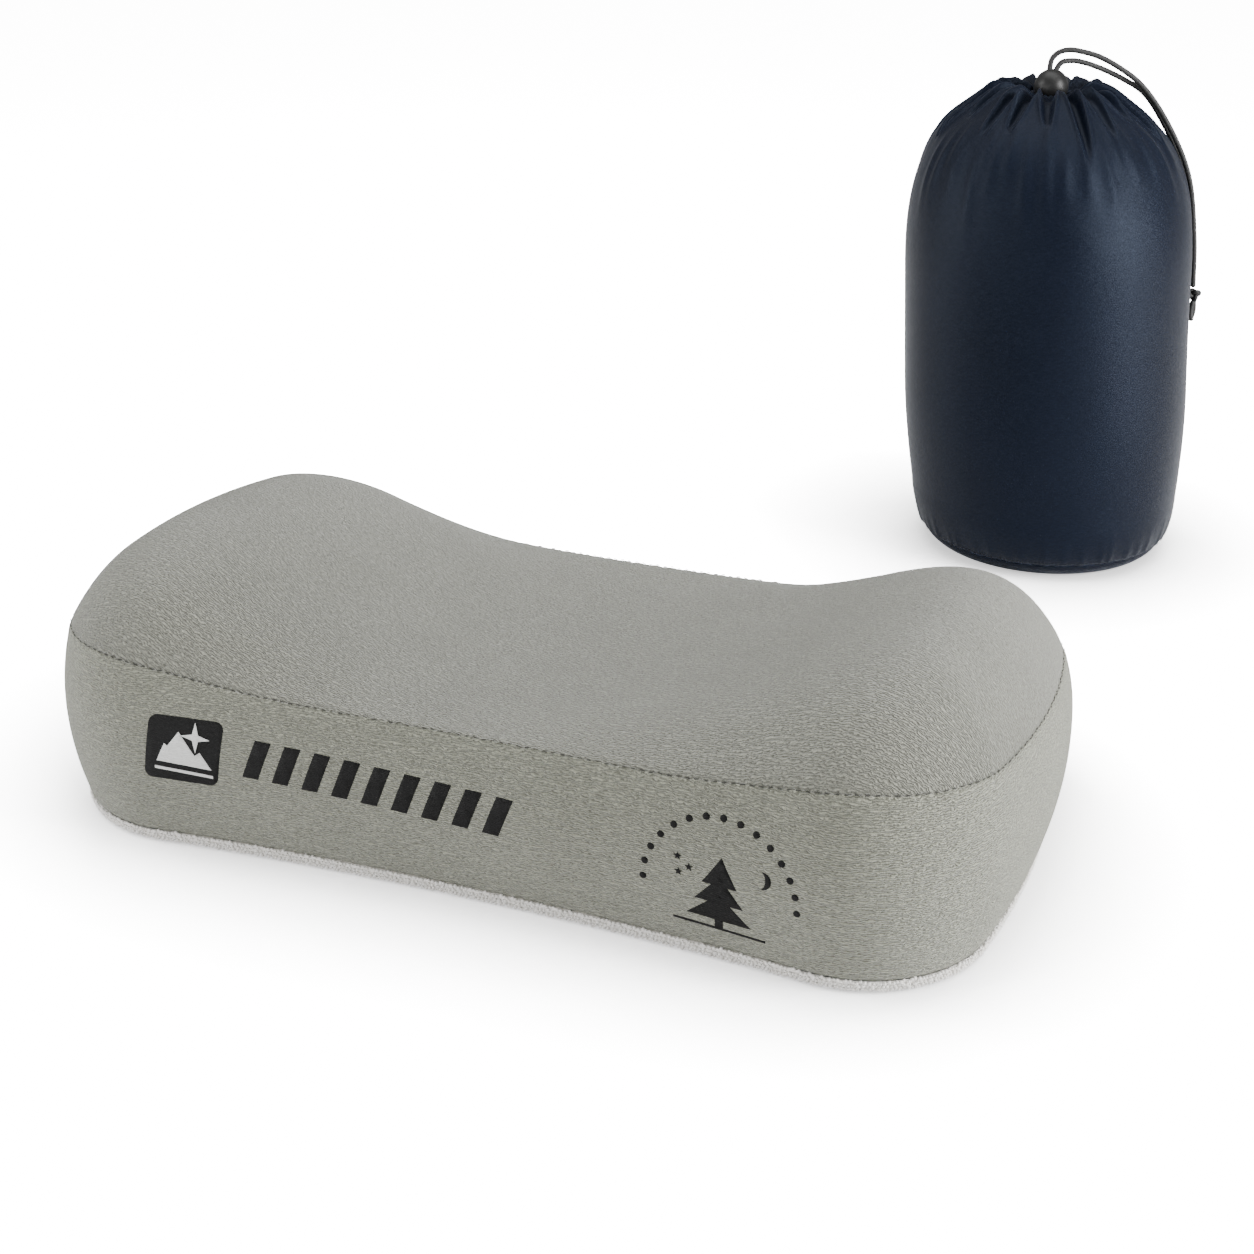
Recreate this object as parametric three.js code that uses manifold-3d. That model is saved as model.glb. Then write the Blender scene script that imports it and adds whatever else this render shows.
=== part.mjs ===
// Camp pillow with its drawstring sack: a foam core in an airtight bladder, inside a stitched
// stretch cover with a zip and a valve in its back wall, and the full stuff sack behind it.
// Millimetres, +Z up, +X along the pillow, +Y towards its back. The origin is under the pillow's centre.
import * as THREE from 'three';
import { mergeVertices } from 'three/addons/utils/BufferGeometryUtils.js';
import Module from 'manifold-3d';

const wasm = await Module();
wasm.setup();

const CLEARANCE = 0.3;

// Pillow, seen from above: a long outline whose ends are wider than its waist.
const LENGTH = 450;
const END_WIDTH = 253;
const WAIST_DEPTH = 7;
const END_RADIUS = 447;
const CORNER_RADIUS = 64;

// Height of the seam between the top panel and the side band, and the crown above it.
const SEAM_END = 80.2;
const SEAM_END_TILT = 9.3;
const SEAM_MIDDLE = 72.8;
const SEAM_MIDDLE_TILT = 6.3;
const SEAM_REACH = 183.5;
const TILT_REACH = 100;
const CROWN = 47.2;
const CROWN_POWER = 4.8;

// Side wall: it bulges out between the seam and the base panel's rounded edge.
const BASE_EDGE = 6;
const BULGE_LEVEL = 0.517;
const BULGE_BELOW = 6.6;
const BULGE_ABOVE = 6.8;

// Layers, from the outside in.
const COVER = 1.5;
const BLADDER = 1;

// Zip in the back wall.
const ZIP_LENGTH = 195;
const ZIP_CENTRE = 38;
const ZIP_HEIGHT = 37.5;
const ZIP_SLOT = 14;
const TAPE_THICKNESS = 0.8;
const COIL_WIDTH = 3;
const COIL_THICKNESS = 1.6;
const COIL_PROUD = 0.4;
const STOP_LENGTH = 3;
const SLIDER_LENGTH = 9;
const SLIDER_WIDTH = 7;
const SLIDER_PLATE = 1.5;
const BRIDGE_WIDTH = 1.6;
const BRIDGE_POST = 1.2;
const BRIDGE_ROOM = 2.2;
const BRIDGE_BAR = 1;
const PULL_LENGTH = 26;
const PULL_THICKNESS = 1.2;
const PULL_ARM = 1.4;

// Valve in the back wall.
const VALVE_PLACE = -110;
const NECK_RADIUS = 12.5;
const NECK_WALL = 2;
const NECK_PROUD = 3;
const FLANGE_RADIUS = 15;
const FLANGE_THICKNESS = 1.2;
const FOAM_ROOM = 1;
const PLUG_INSERT = 2.5;
const PLUG_HEAD = 1.5;
const PORT_RADIUS = 5;
const DIAPHRAGM_RADIUS = 6.5;
const DIAPHRAGM_THICKNESS = 0.6;
const CAP_RADIUS = 8;
const CAP_THICKNESS = 1.5;
const CAP_INSERT = 2;
const HINGE_REACH = 2;
const TONGUE_WIDTH = 6;
const EYELET_WIDTH = 4;
const EYELET_THICKNESS = 0.8;

// Stuff sack: it stands full behind the pillow and leans a little.
const SACK_X = 148;
const SACK_Y = 392;
const SACK_LEAN_X = -0.0615;
const SACK_LEAN_Y = -0.024;
const SACK_HEIGHT = 267;
const SACK_BASE_RADIUS = 75;
const SACK_BELLY_RADIUS = 82;
const SACK_BELLY_HEIGHT = 100;
const SACK_SHOULDER_HEIGHT = 170;
const SACK_SHOULDER_POWER = 2.5;
const SACK_FABRIC = 0.8;
const SACK_FLOOR = 1.2;
const NECK_SLACK = 17;

// Hem channel at the sack's neck, with the drawcord in it.
const HEM_RADIUS = 11;
const HEM_SECTION = 2.6;
const HEM_WALL = 0.7;
const HEM_SLIT = 50;
const CORD_DIAMETER = 3;
const CORD_SPREAD = 3.4;
const KNOT_RADIUS = 4.2;
const CORD_END = 11;

// Ball cord lock.
const BALL_RADIUS = 9.5;
const BUTTON_RADIUS = 4.6;
const BUTTON_RISE = 1.9;
const BUTTON_PROUD = 3;
const BUTTON_TRAVEL = 2;
const BUTTON_BORE = 6.4;
const SPRING_ROOM = 3.4;
const SPRING_RADIUS = 3.2;
const SPRING_WIRE = 0.6;
const SPRING_TURNS = 1.5;

const fabric = (color) => new THREE.MeshStandardMaterial({ color, roughness: 0.9, metalness: 0 });
const plastic = (color) => new THREE.MeshStandardMaterial({ color, roughness: 0.4, metalness: 0 });
const COVER_FABRIC = fabric(0x8f9183);
const BASE_FABRIC = fabric(0xe6e2d6);
const BLADDER_FILM = plastic(0xc9c6bb);
const FOAM = fabric(0xf0dfa0);
const ZIP_FABRIC = fabric(0x5c5e55);
const ZIP_METAL = new THREE.MeshStandardMaterial({ color: 0x3a3b3c, roughness: 0.35, metalness: 0.9 });
const VALVE_RUBBER = plastic(0x4b4d4f);
const DIAPHRAGM_RUBBER = plastic(0xd8d8d4);
const SACK_NYLON = new THREE.MeshStandardMaterial({ color: 0x1d2433, roughness: 0.45, metalness: 0 });
const CORD = fabric(0x141414);
const LOCK_PLASTIC = plastic(0x161616);
const SPRING_STEEL = new THREE.MeshStandardMaterial({ color: 0xb8babd, roughness: 0.3, metalness: 1 });

// Solids and booleans.

function positionsOnly(geometry) {
  const bare = geometry.clone();
  bare.deleteAttribute('normal');
  bare.deleteAttribute('uv');
  return mergeVertices(bare, 1e-4);
}

function toManifold(geometry) {
  const merged = positionsOnly(geometry);
  return new wasm.Manifold(new wasm.Mesh({
    numProp: 3,
    vertProperties: Float32Array.from(merged.attributes.position.array),
    triVerts: Uint32Array.from(merged.index.array),
  }));
}

function fromManifold(solid) {
  const mesh = solid.getMesh();
  const geometry = new THREE.BufferGeometry();
  geometry.setAttribute('position', new THREE.BufferAttribute(mesh.vertProperties, 3));
  geometry.setIndex(new THREE.BufferAttribute(mesh.triVerts, 1));
  return geometry;
}

const cut = (geometry, ...tools) => fromManifold(
  tools.reduce((solid, tool) => solid.subtract(toManifold(tool)), toManifold(geometry)),
);

const join = (...geometries) => fromManifold(
  geometries.map(toManifold).reduce((solid, other) => solid.add(other)),
);

function part(name, geometry, material) {
  geometry.computeVertexNormals();
  const mesh = new THREE.Mesh(geometry, material);
  mesh.name = name;
  return mesh;
}

function group(...children) {
  const made = new THREE.Group();
  made.add(...children);
  return made;
}

const lathe = (points, segments) => new THREE.LatheGeometry(
  points.map(([r, h]) => new THREE.Vector2(r, h)), segments,
);

// A solid of revolution about +Z. Its profile runs as [radius, height] and closes on itself.
const turned = (points, segments = 32) => lathe(points, segments).rotateX(Math.PI / 2);

// The pillow's plan.

const END_HALF = END_WIDTH / 2;
const WAIST_HALF = END_HALF - WAIST_DEPTH;
const CORNER_Y = END_HALF - CORNER_RADIUS;
const END_CENTRE_X = LENGTH / 2 - END_RADIUS;
const CORNER_X = END_CENTRE_X + Math.sqrt((END_RADIUS - CORNER_RADIUS) ** 2 - CORNER_Y ** 2);
const WAIST_RADIUS = (CORNER_X ** 2 + (WAIST_HALF - CORNER_Y) ** 2 - CORNER_RADIUS ** 2)
  / (2 * WAIST_DEPTH);
const WAIST_CENTRE_Y = WAIST_HALF + WAIST_RADIUS;

function arc(centreX, centreY, radius, from, to, steps, first) {
  const points = [];
  for (let k = first; k <= steps; k += 1) {
    const angle = from + ((to - from) * k) / steps;
    const out = new THREE.Vector2(Math.cos(angle), Math.sin(angle));
    points.push({ x: centreX + radius * out.x, y: centreY + radius * out.y, out });
  }
  return points;
}

// One quarter of the outline, from the end's middle to the waist's middle: three tangent arcs.
function quarterOutline() {
  const endTurn = Math.atan2(CORNER_Y, CORNER_X - END_CENTRE_X);
  const waistTurn = Math.asin(CORNER_X / (WAIST_RADIUS + CORNER_RADIUS));
  const end = arc(END_CENTRE_X, 0, END_RADIUS, 0, endTurn, 2, 0);
  const corner = arc(CORNER_X, CORNER_Y, CORNER_RADIUS, endTurn, Math.PI / 2 + waistTurn, 5, 1);
  const waist = [];
  for (let k = 1; k <= 4; k += 1) {
    const turn = waistTurn * (1 - k / 4);
    const out = new THREE.Vector2(-Math.sin(turn), Math.cos(turn));
    waist.push({ x: WAIST_RADIUS * Math.sin(turn), y: WAIST_CENTRE_Y - WAIST_RADIUS * out.y, out });
  }
  return [...end, ...corner, ...waist];
}

function fullOutline() {
  const quarter = quarterOutline();
  const mirror = (p, sx, sy) => ({
    x: sx * p.x, y: sy * p.y, out: new THREE.Vector2(sx * p.out.x, sy * p.out.y),
  });
  const last = quarter.length - 1;
  const left = quarter.slice(0, last).reverse().map((p) => mirror(p, -1, 1));
  const back = [...quarter, ...left];
  const front = back.slice(1, -1).reverse().map((p) => mirror(p, 1, -1));
  return [...back, ...front];
}

const OUTLINE = fullOutline();

// The pillow's skin, as rings of points: crown rings from the spine to the seam, wall rings down to
// the base panel, and the base panel's rounded edge and flat.

function endShare(x, reach, power) {
  const share = Math.min(1, Math.abs(x) / reach);
  return (0.5 - 0.5 * Math.cos(Math.PI * share)) ** power;
}

function seamHeight({ x, y }) {
  const tilt = Math.min(1, Math.max(-1, y / TILT_REACH));
  const middle = SEAM_MIDDLE - SEAM_MIDDLE_TILT * tilt;
  const end = SEAM_END - SEAM_END_TILT * tilt;
  return middle + (end - middle) * endShare(x, SEAM_REACH, 3);
}

const spinePoint = ({ x }) => ({ x: x / 2, y: 0 });

function crownPoint(station, along) {
  const spine = spinePoint(station);
  const x = spine.x + (station.x - spine.x) * along;
  const y = spine.y + (station.y - spine.y) * along;
  const crown = CROWN * endShare(x, LENGTH / 2, 1);
  return new THREE.Vector3(x, y, seamHeight({ x, y }) + crown * (1 - along ** CROWN_POWER));
}

function wallInset(level) {
  if (level < BULGE_LEVEL) return BULGE_BELOW * ((BULGE_LEVEL - level) / BULGE_LEVEL) ** 2;
  return BULGE_ABOVE * ((level - BULGE_LEVEL) / (1 - BULGE_LEVEL)) ** 2;
}

function insetPoint(station, inset, z) {
  return new THREE.Vector3(
    station.x - inset * station.out.x, station.y - inset * station.out.y, z,
  );
}

const wallPoint = (station, level) => insetPoint(
  station, wallInset(level), BASE_EDGE + (seamHeight(station) - BASE_EDGE) * level,
);

function baseEdgePoint(station, turn) {
  const inset = BULGE_BELOW + BASE_EDGE * (1 - Math.cos(turn));
  return insetPoint(station, inset, BASE_EDGE * (1 - Math.sin(turn)));
}

function basePoint(station, along) {
  const edge = insetPoint(station, BULGE_BELOW + BASE_EDGE, 0);
  const spine = spinePoint(station);
  return new THREE.Vector3(
    spine.x + (edge.x - spine.x) * along, edge.y * along, 0,
  );
}

const CROWN_STEPS = [0, 0.35, 0.62, 0.8, 0.92, 1];
const WALL_STEPS = [0.78, BULGE_LEVEL, 0.25, 0];
const SEAM_RING = CROWN_STEPS.length - 1;
const BASE_RING = SEAM_RING + WALL_STEPS.length;

// The crown meets the top of the wall inside the seam's inset, so both use the same seam point.
function skinRings() {
  const seamInset = (station) => ({
    ...station,
    x: station.x - BULGE_ABOVE * station.out.x,
    y: station.y - BULGE_ABOVE * station.out.y,
  });
  const crown = CROWN_STEPS.map((along) => OUTLINE.map((s) => crownPoint(seamInset(s), along)));
  crown[SEAM_RING] = OUTLINE.map((s) => wallPoint(s, 1));
  const wall = WALL_STEPS.map((level) => OUTLINE.map((s) => wallPoint(s, level)));
  const edge = [Math.PI / 4, Math.PI / 2].map((turn) => OUTLINE.map((s) => baseEdgePoint(s, turn)));
  const base = [0.5, 0].map((along) => OUTLINE.map((s) => basePoint(s, along)));
  return [...crown, ...wall, ...edge, ...base];
}

const RINGS = skinRings();

// Outward directions at each ring point, from its neighbours along the ring and across the rings.
function outwardDirections(rings) {
  const count = OUTLINE.length;
  return rings.map((ring, j) => ring.map((point, i) => {
    if (j === 0) return new THREE.Vector3(0, 0, 1);
    if (j === rings.length - 1) return new THREE.Vector3(0, 0, -1);
    const along = ring[(i + 1) % count].clone().sub(ring[(i + count - 1) % count]).normalize();
    const before = point.clone().sub(rings[j - 1][i]).normalize();
    const after = rings[j + 1][i].clone().sub(point).normalize();
    return before.add(after).cross(along).normalize();
  }));
}

const OUTWARD = outwardDirections(RINGS);

const layerRings = (depth) => RINGS.map((ring, j) => ring.map(
  (point, i) => point.clone().addScaledVector(OUTWARD[j][i], -depth),
));

// A closed surface through rings of points: the outer rings from the top down, then the inner ones
// back up. The spine's two rings are lines, so nothing joins one of them to the other.
function ringSolid(outer, inner = []) {
  const count = OUTLINE.length;
  const rings = [...outer, ...[...inner].reverse()];
  const isLine = (ring) => ring.every((point) => point.y === 0);
  const index = [];
  rings.forEach((ring, j) => {
    const following = (j + 1) % rings.length;
    if (isLine(ring) && isLine(rings[following])) return;
    const low = j * count;
    const high = following * count;
    for (let i = 0; i < count; i += 1) {
      const next = (i + 1) % count;
      if (j < outer.length) index.push(low + i, high + i, high + next, low + i, high + next, low + next);
      else index.push(low + i, high + i, low + next, low + next, high + i, high + next);
    }
  });
  const geometry = new THREE.BufferGeometry();
  const positions = rings.flat().flatMap((point) => [point.x, point.y, point.z]);
  geometry.setAttribute('position', new THREE.Float32BufferAttribute(positions, 3));
  geometry.setIndex(index);
  return mergeVertices(geometry, 1e-4);
}

const shifted = (ring, dz) => ring.map((point) => point.clone().setZ(point.z + dz));

// The back wall: the waist's arc, where the zip and the valve are.

function backArcShape(inside, outside, from, to) {
  const shape = new THREE.Shape();
  const angle = (x) => -Math.PI / 2 + Math.asin(x / WAIST_RADIUS);
  shape.absarc(0, 0, WAIST_RADIUS + inside, angle(from), angle(to), false);
  shape.absarc(0, 0, WAIST_RADIUS - outside, angle(to), angle(from), true);
  return shape;
}

// A curved bar in the back wall. Its faces lie inside and outside the wall's face by those depths.
function backArcBar(inside, outside, from, to, low, high, segments = 12) {
  const bar = new THREE.ExtrudeGeometry(
    backArcShape(inside, outside, from, to),
    { depth: high - low, bevelEnabled: false, curveSegments: segments },
  );
  return bar.translate(0, WAIST_CENTRE_Y, low);
}

const turnAtBack = (x) => Math.asin(x / WAIST_RADIUS);

// Puts a group at the back wall's face: local X along the wall, local Y out of it.
function placeAtBack(made, x, z) {
  const turn = turnAtBack(x);
  made.position.set(WAIST_RADIUS * Math.sin(turn), WAIST_CENTRE_Y - WAIST_RADIUS * Math.cos(turn), z);
  made.rotation.z = turn;
  return made;
}

// Pillow layers.

const ZIP_FROM = ZIP_CENTRE - ZIP_LENGTH / 2;
const ZIP_TO = ZIP_CENTRE + ZIP_LENGTH / 2;
const BLADDER_DEPTH = COVER + CLEARANCE;
const FOAM_DEPTH = BLADDER_DEPTH + BLADDER + CLEARANCE;

function coverTopPanel() {
  const upTo = SEAM_RING + 1;
  return ringSolid(RINGS.slice(0, upTo), layerRings(COVER).slice(0, upTo));
}

function coverSideBand() {
  const wallOf = (rings) => {
    const wall = rings.slice(SEAM_RING, BASE_RING + 1);
    const last = wall.length - 1;
    return [shifted(wall[0], -CLEARANCE), ...wall.slice(1, last), shifted(wall[last], CLEARANCE)];
  };
  const band = ringSolid(wallOf(RINGS), wallOf(layerRings(COVER)));
  const slot = backArcBar(
    2 * COVER, COVER, ZIP_FROM, ZIP_TO, ZIP_HEIGHT - ZIP_SLOT / 2, ZIP_HEIGHT + ZIP_SLOT / 2,
  );
  return cut(band, slot, valveHole(NECK_RADIUS + CLEARANCE));
}

function coverBasePanel() {
  return ringSolid(RINGS.slice(BASE_RING), layerRings(COVER).slice(BASE_RING));
}

function airBladder() {
  const outside = ringSolid(layerRings(BLADDER_DEPTH));
  const inside = ringSolid(layerRings(BLADDER_DEPTH + BLADDER));
  return cut(outside, inside, valveHole(NECK_RADIUS + CLEARANCE));
}

function foamCore() {
  const radius = FLANGE_RADIUS + FOAM_ROOM;
  const floor = -VALVE_DEPTH - FOAM_ROOM;
  const pocket = placedAtValve(turnedAcross([[0, floor], [radius, floor], [radius, 0], [0, 0]]));
  return cut(ringSolid(layerRings(FOAM_DEPTH)), pocket);
}

// Valve. Its local axis, +Y, points out of the back wall, and heights count from the wall's face.

function wallFallAt(radius) {
  const wall = seamHeight({ x: VALVE_PLACE, y: WAIST_HALF }) - BASE_EDGE;
  const levels = [-radius, radius].map((dz) => (ZIP_HEIGHT + dz - BASE_EDGE) / wall);
  return Math.max(...levels.map(wallInset));
}

const FLANGE_DEPTH = BLADDER_DEPTH + BLADDER + wallFallAt(FLANGE_RADIUS) + 2 * CLEARANCE;
const VALVE_DEPTH = FLANGE_DEPTH + FLANGE_THICKNESS;
const BORE_RADIUS = NECK_RADIUS - NECK_WALL;
const PLUG_RADIUS = BORE_RADIUS - CLEARANCE;
const HEAD_LEVEL = NECK_PROUD + CLEARANCE;
const CAP_LEVEL = HEAD_LEVEL + PLUG_HEAD + CLEARANCE;
const PLUG_HINGE = NECK_RADIUS + HINGE_REACH;
const CAP_HINGE = CAP_RADIUS + HINGE_REACH;

// A solid of revolution about +Y, whose profile runs as [radius, height].
const turnedAcross = (points, segments = 32) => lathe(points, segments);

function placedAtValve(geometry) {
  const holder = placeAtBack(new THREE.Object3D(), VALVE_PLACE, ZIP_HEIGHT);
  holder.updateMatrix();
  return geometry.applyMatrix4(holder.matrix);
}

function valveHole(radius) {
  return placedAtValve(turnedAcross([
    [0, -FLANGE_RADIUS], [radius, -FLANGE_RADIUS], [radius, NECK_PROUD], [0, NECK_PROUD],
  ]));
}

function valveBody() {
  return turnedAcross([
    [BORE_RADIUS, -VALVE_DEPTH],
    [FLANGE_RADIUS, -VALVE_DEPTH],
    [FLANGE_RADIUS, -FLANGE_DEPTH],
    [NECK_RADIUS, -FLANGE_DEPTH],
    [NECK_RADIUS, NECK_PROUD],
    [BORE_RADIUS, NECK_PROUD],
    [BORE_RADIUS, -VALVE_DEPTH],
  ]);
}

function valveEyelet() {
  const inner = NECK_RADIUS + CLEARANCE;
  const outer = inner + EYELET_WIDTH;
  return turnedAcross([
    [inner, CLEARANCE], [outer, CLEARANCE], [outer, CLEARANCE + EYELET_THICKNESS],
    [inner, CLEARANCE + EYELET_THICKNESS], [inner, CLEARANCE],
  ]);
}

// A tongue from a lid to its hinge line, with a round end on that line.
function hingeTongue(reach, inside, level, thickness) {
  const radius = thickness / 2;
  const middle = level + radius;
  const plate = new THREE.BoxGeometry(reach - inside, thickness, TONGUE_WIDTH);
  plate.translate(-(reach + inside) / 2, middle, 0);
  const knuckle = new THREE.CylinderGeometry(radius, radius, TONGUE_WIDTH, 12);
  knuckle.rotateX(Math.PI / 2).translate(-reach, middle, 0);
  return [plate, knuckle];
}

function valvePlug() {
  const disc = turnedAcross([
    [PORT_RADIUS, NECK_PROUD - PLUG_INSERT],
    [PLUG_RADIUS, NECK_PROUD - PLUG_INSERT],
    [PLUG_RADIUS, HEAD_LEVEL],
    [NECK_RADIUS, HEAD_LEVEL],
    [NECK_RADIUS, HEAD_LEVEL + PLUG_HEAD],
    [PORT_RADIUS, HEAD_LEVEL + PLUG_HEAD],
    [PORT_RADIUS, NECK_PROUD - PLUG_INSERT],
  ]);
  return join(disc, ...hingeTongue(PLUG_HINGE, PLUG_RADIUS, HEAD_LEVEL, PLUG_HEAD));
}

// Its hinge is opposite the plug's, so the two open away from each other.
function valveCap() {
  const insert = PORT_RADIUS - CLEARANCE;
  const disc = turnedAcross([
    [0, CAP_LEVEL - CAP_INSERT],
    [insert, CAP_LEVEL - CAP_INSERT],
    [insert, CAP_LEVEL],
    [CAP_RADIUS, CAP_LEVEL],
    [CAP_RADIUS, CAP_LEVEL + CAP_THICKNESS],
    [0, CAP_LEVEL + CAP_THICKNESS],
  ], 24);
  return join(disc, ...hingeTongue(CAP_HINGE, CAP_RADIUS - 1, CAP_LEVEL, CAP_THICKNESS)).rotateY(Math.PI);
}

function valveDiaphragm() {
  const top = NECK_PROUD - PLUG_INSERT - CLEARANCE;
  return turnedAcross([
    [0, top - DIAPHRAGM_THICKNESS], [DIAPHRAGM_RADIUS, top - DIAPHRAGM_THICKNESS],
    [DIAPHRAGM_RADIUS, top], [0, top],
  ], 24);
}

function valveStrap() {
  const inside = NECK_RADIUS + CLEARANCE;
  const outside = PLUG_HINGE + PLUG_HEAD / 2;
  const low = 2 * CLEARANCE + EYELET_THICKNESS;
  const strap = new THREE.BoxGeometry(outside - inside, NECK_PROUD - low, TONGUE_WIDTH);
  return strap.translate(-(inside + outside) / 2, (NECK_PROUD + low) / 2, 0);
}

function valve() {
  return placeAtBack(group(
    part('valve_body', valveBody(), VALVE_RUBBER),
    part('valve_eyelet', valveEyelet(), ZIP_FABRIC),
    part('valve_strap', valveStrap(), VALVE_RUBBER),
    part('valve_plug', valvePlug(), VALVE_RUBBER),
    part('valve_diaphragm', valveDiaphragm(), DIAPHRAGM_RUBBER),
    part('valve_cap', valveCap(), VALVE_RUBBER),
  ), VALVE_PLACE, ZIP_HEIGHT);
}

// Zip. The tapes fill the slot on both sides of the coil, and the slider runs on the coil's outside.

const TAPE_EDGE = ZIP_SLOT / 2 - CLEARANCE;
const COIL_FROM = ZIP_FROM + STOP_LENGTH + 2 * CLEARANCE;
const COIL_TO = ZIP_TO - STOP_LENGTH - 2 * CLEARANCE;

function zipTape(side) {
  const near = COIL_WIDTH / 2 + CLEARANCE;
  const [low, high] = side > 0 ? [near, TAPE_EDGE] : [-TAPE_EDGE, -near];
  return backArcBar(
    CLEARANCE + TAPE_THICKNESS, -CLEARANCE, ZIP_FROM + CLEARANCE, ZIP_TO - CLEARANCE,
    ZIP_HEIGHT + low, ZIP_HEIGHT + high,
  );
}

function zipCoilBar(from, to, segments) {
  return backArcBar(
    COIL_THICKNESS - COIL_PROUD, COIL_PROUD, from, to,
    ZIP_HEIGHT - COIL_WIDTH / 2, ZIP_HEIGHT + COIL_WIDTH / 2, segments,
  );
}

const SLIDER_LEVEL = COIL_PROUD + CLEARANCE;
const PLATE_TOP = SLIDER_LEVEL + SLIDER_PLATE;
const PULL_LEVEL = PLATE_TOP + BRIDGE_ROOM / 2;
const BRIDGE_LENGTH = SLIDER_LENGTH - BRIDGE_POST;

function box(x0, x1, y0, y1, z0, z1) {
  const made = new THREE.BoxGeometry(x1 - x0, y1 - y0, z1 - z0);
  return made.translate((x0 + x1) / 2, (y0 + y1) / 2, (z0 + z1) / 2);
}

// Local Y points out of the wall. The bridge is an arch along the zip, which the pull hangs from.
function zipSlider() {
  const half = SLIDER_LENGTH / 2;
  const reach = BRIDGE_LENGTH / 2;
  const wide = BRIDGE_WIDTH / 2;
  const archTop = PLATE_TOP + BRIDGE_ROOM + BRIDGE_BAR;
  const plate = box(-half, half, SLIDER_LEVEL, PLATE_TOP, -SLIDER_WIDTH / 2, SLIDER_WIDTH / 2);
  const arch = box(-reach, reach, PLATE_TOP - 0.5, archTop, -wide, wide);
  const room = box(
    -reach + BRIDGE_POST, reach - BRIDGE_POST, PLATE_TOP, PLATE_TOP + BRIDGE_ROOM, -wide - 1, wide + 1,
  );
  return join(plate, cut(arch, room));
}

// A flat tab with a bar under the bridge, at local X = 0, and a window that clears the bridge's corner.
function zipPull() {
  const bar = PULL_THICKNESS / 2;
  const window = Math.hypot(BRIDGE_LENGTH / 2, BRIDGE_ROOM / 2 + BRIDGE_BAR) + CLEARANCE;
  const inner = BRIDGE_WIDTH / 2 + CLEARANCE;
  const outer = inner + PULL_ARM;
  const outline = new THREE.Shape();
  outline.moveTo(bar, outer);
  outline.lineTo(bar, -outer);
  outline.lineTo(-PULL_LENGTH + outer, -outer);
  outline.absarc(-PULL_LENGTH + outer, 0, outer, -Math.PI / 2, Math.PI / 2, true);
  outline.closePath();
  const hole = new THREE.Path();
  hole.moveTo(-bar, inner);
  hole.lineTo(-window, inner);
  hole.lineTo(-window, -inner);
  hole.lineTo(-bar, -inner);
  hole.closePath();
  outline.holes.push(hole);
  const tab = new THREE.ExtrudeGeometry(
    outline, { depth: PULL_THICKNESS, bevelEnabled: false, curveSegments: 8 },
  );
  return tab.translate(0, 0, -PULL_THICKNESS / 2).rotateX(-Math.PI / 2);
}

function zip() {
  const sliderAt = COIL_TO - SLIDER_LENGTH / 2;
  const pull = part('zip_pull', zipPull(), ZIP_METAL);
  pull.position.y = PULL_LEVEL;
  const slider = group(part('zip_slider', zipSlider(), ZIP_METAL), pull);
  return group(
    part('zip_tape_upper', zipTape(1), ZIP_FABRIC),
    part('zip_tape_lower', zipTape(-1), ZIP_FABRIC),
    part('zip_coil', zipCoilBar(COIL_FROM, COIL_TO, 12), ZIP_FABRIC),
    part('zip_stop_open', zipCoilBar(ZIP_FROM + CLEARANCE, COIL_FROM - CLEARANCE, 1), ZIP_METAL),
    part('zip_stop_closed', zipCoilBar(COIL_TO + CLEARANCE, ZIP_TO - CLEARANCE, 1), ZIP_METAL),
    placeAtBack(slider, sliderAt, ZIP_HEIGHT),
  );
}

// Stuff sack: solids of revolution, leaned over together.

const lean = new THREE.Matrix4().makeShear(0, 0, 0, 0, SACK_LEAN_X, SACK_LEAN_Y);

const PACK_HEIGHT = SACK_HEIGHT - NECK_SLACK;
const HEM_LEVEL = SACK_HEIGHT - HEM_SECTION;
const TOP_EDGE_RADIUS = HEM_RADIUS + HEM_SECTION + CLEARANCE;

function sackRadius(height) {
  if (height <= SACK_BELLY_HEIGHT) {
    const rise = Math.sin((Math.PI / 2) * (height / SACK_BELLY_HEIGHT));
    return SACK_BASE_RADIUS + (SACK_BELLY_RADIUS - SACK_BASE_RADIUS) * rise;
  }
  if (height <= SACK_SHOULDER_HEIGHT) return SACK_BELLY_RADIUS;
  const share = (height - SACK_SHOULDER_HEIGHT) / (SACK_HEIGHT - SACK_SHOULDER_HEIGHT);
  const fall = (1 - Math.min(1, share) ** SACK_SHOULDER_POWER) ** (1 / SACK_SHOULDER_POWER);
  return TOP_EDGE_RADIUS + (SACK_BELLY_RADIUS - TOP_EDGE_RADIUS) * fall;
}

function sackHeights() {
  const low = [0, 0.15, 0.45, 1].map((share) => SACK_FLOOR + CLEARANCE
    + (SACK_BELLY_HEIGHT - SACK_FLOOR - CLEARANCE) * share);
  const shoulder = [0, 0.3, 0.5, 0.67, 0.8, 0.9, 0.97, 1].map((share) => SACK_SHOULDER_HEIGHT
    + (SACK_HEIGHT - SACK_SHOULDER_HEIGHT) * share);
  return [...low, ...shoulder];
}

// An outline moved inwards by a depth, along the direction across its neighbours.
const movedIn = (outline, depth) => outline.map(([r, h], k) => {
  const before = outline[Math.max(0, k - 1)];
  const after = outline[Math.min(outline.length - 1, k + 1)];
  const along = new THREE.Vector2(after[0] - before[0], after[1] - before[1]).normalize();
  return [r - along.y * depth, h + along.x * depth];
});

function sackBody() {
  const outline = sackHeights().map((h) => [sackRadius(h), h]);
  const inner = movedIn(outline, SACK_FABRIC).reverse();
  return turned([...outline, ...inner, outline[0]], 36);
}

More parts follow.
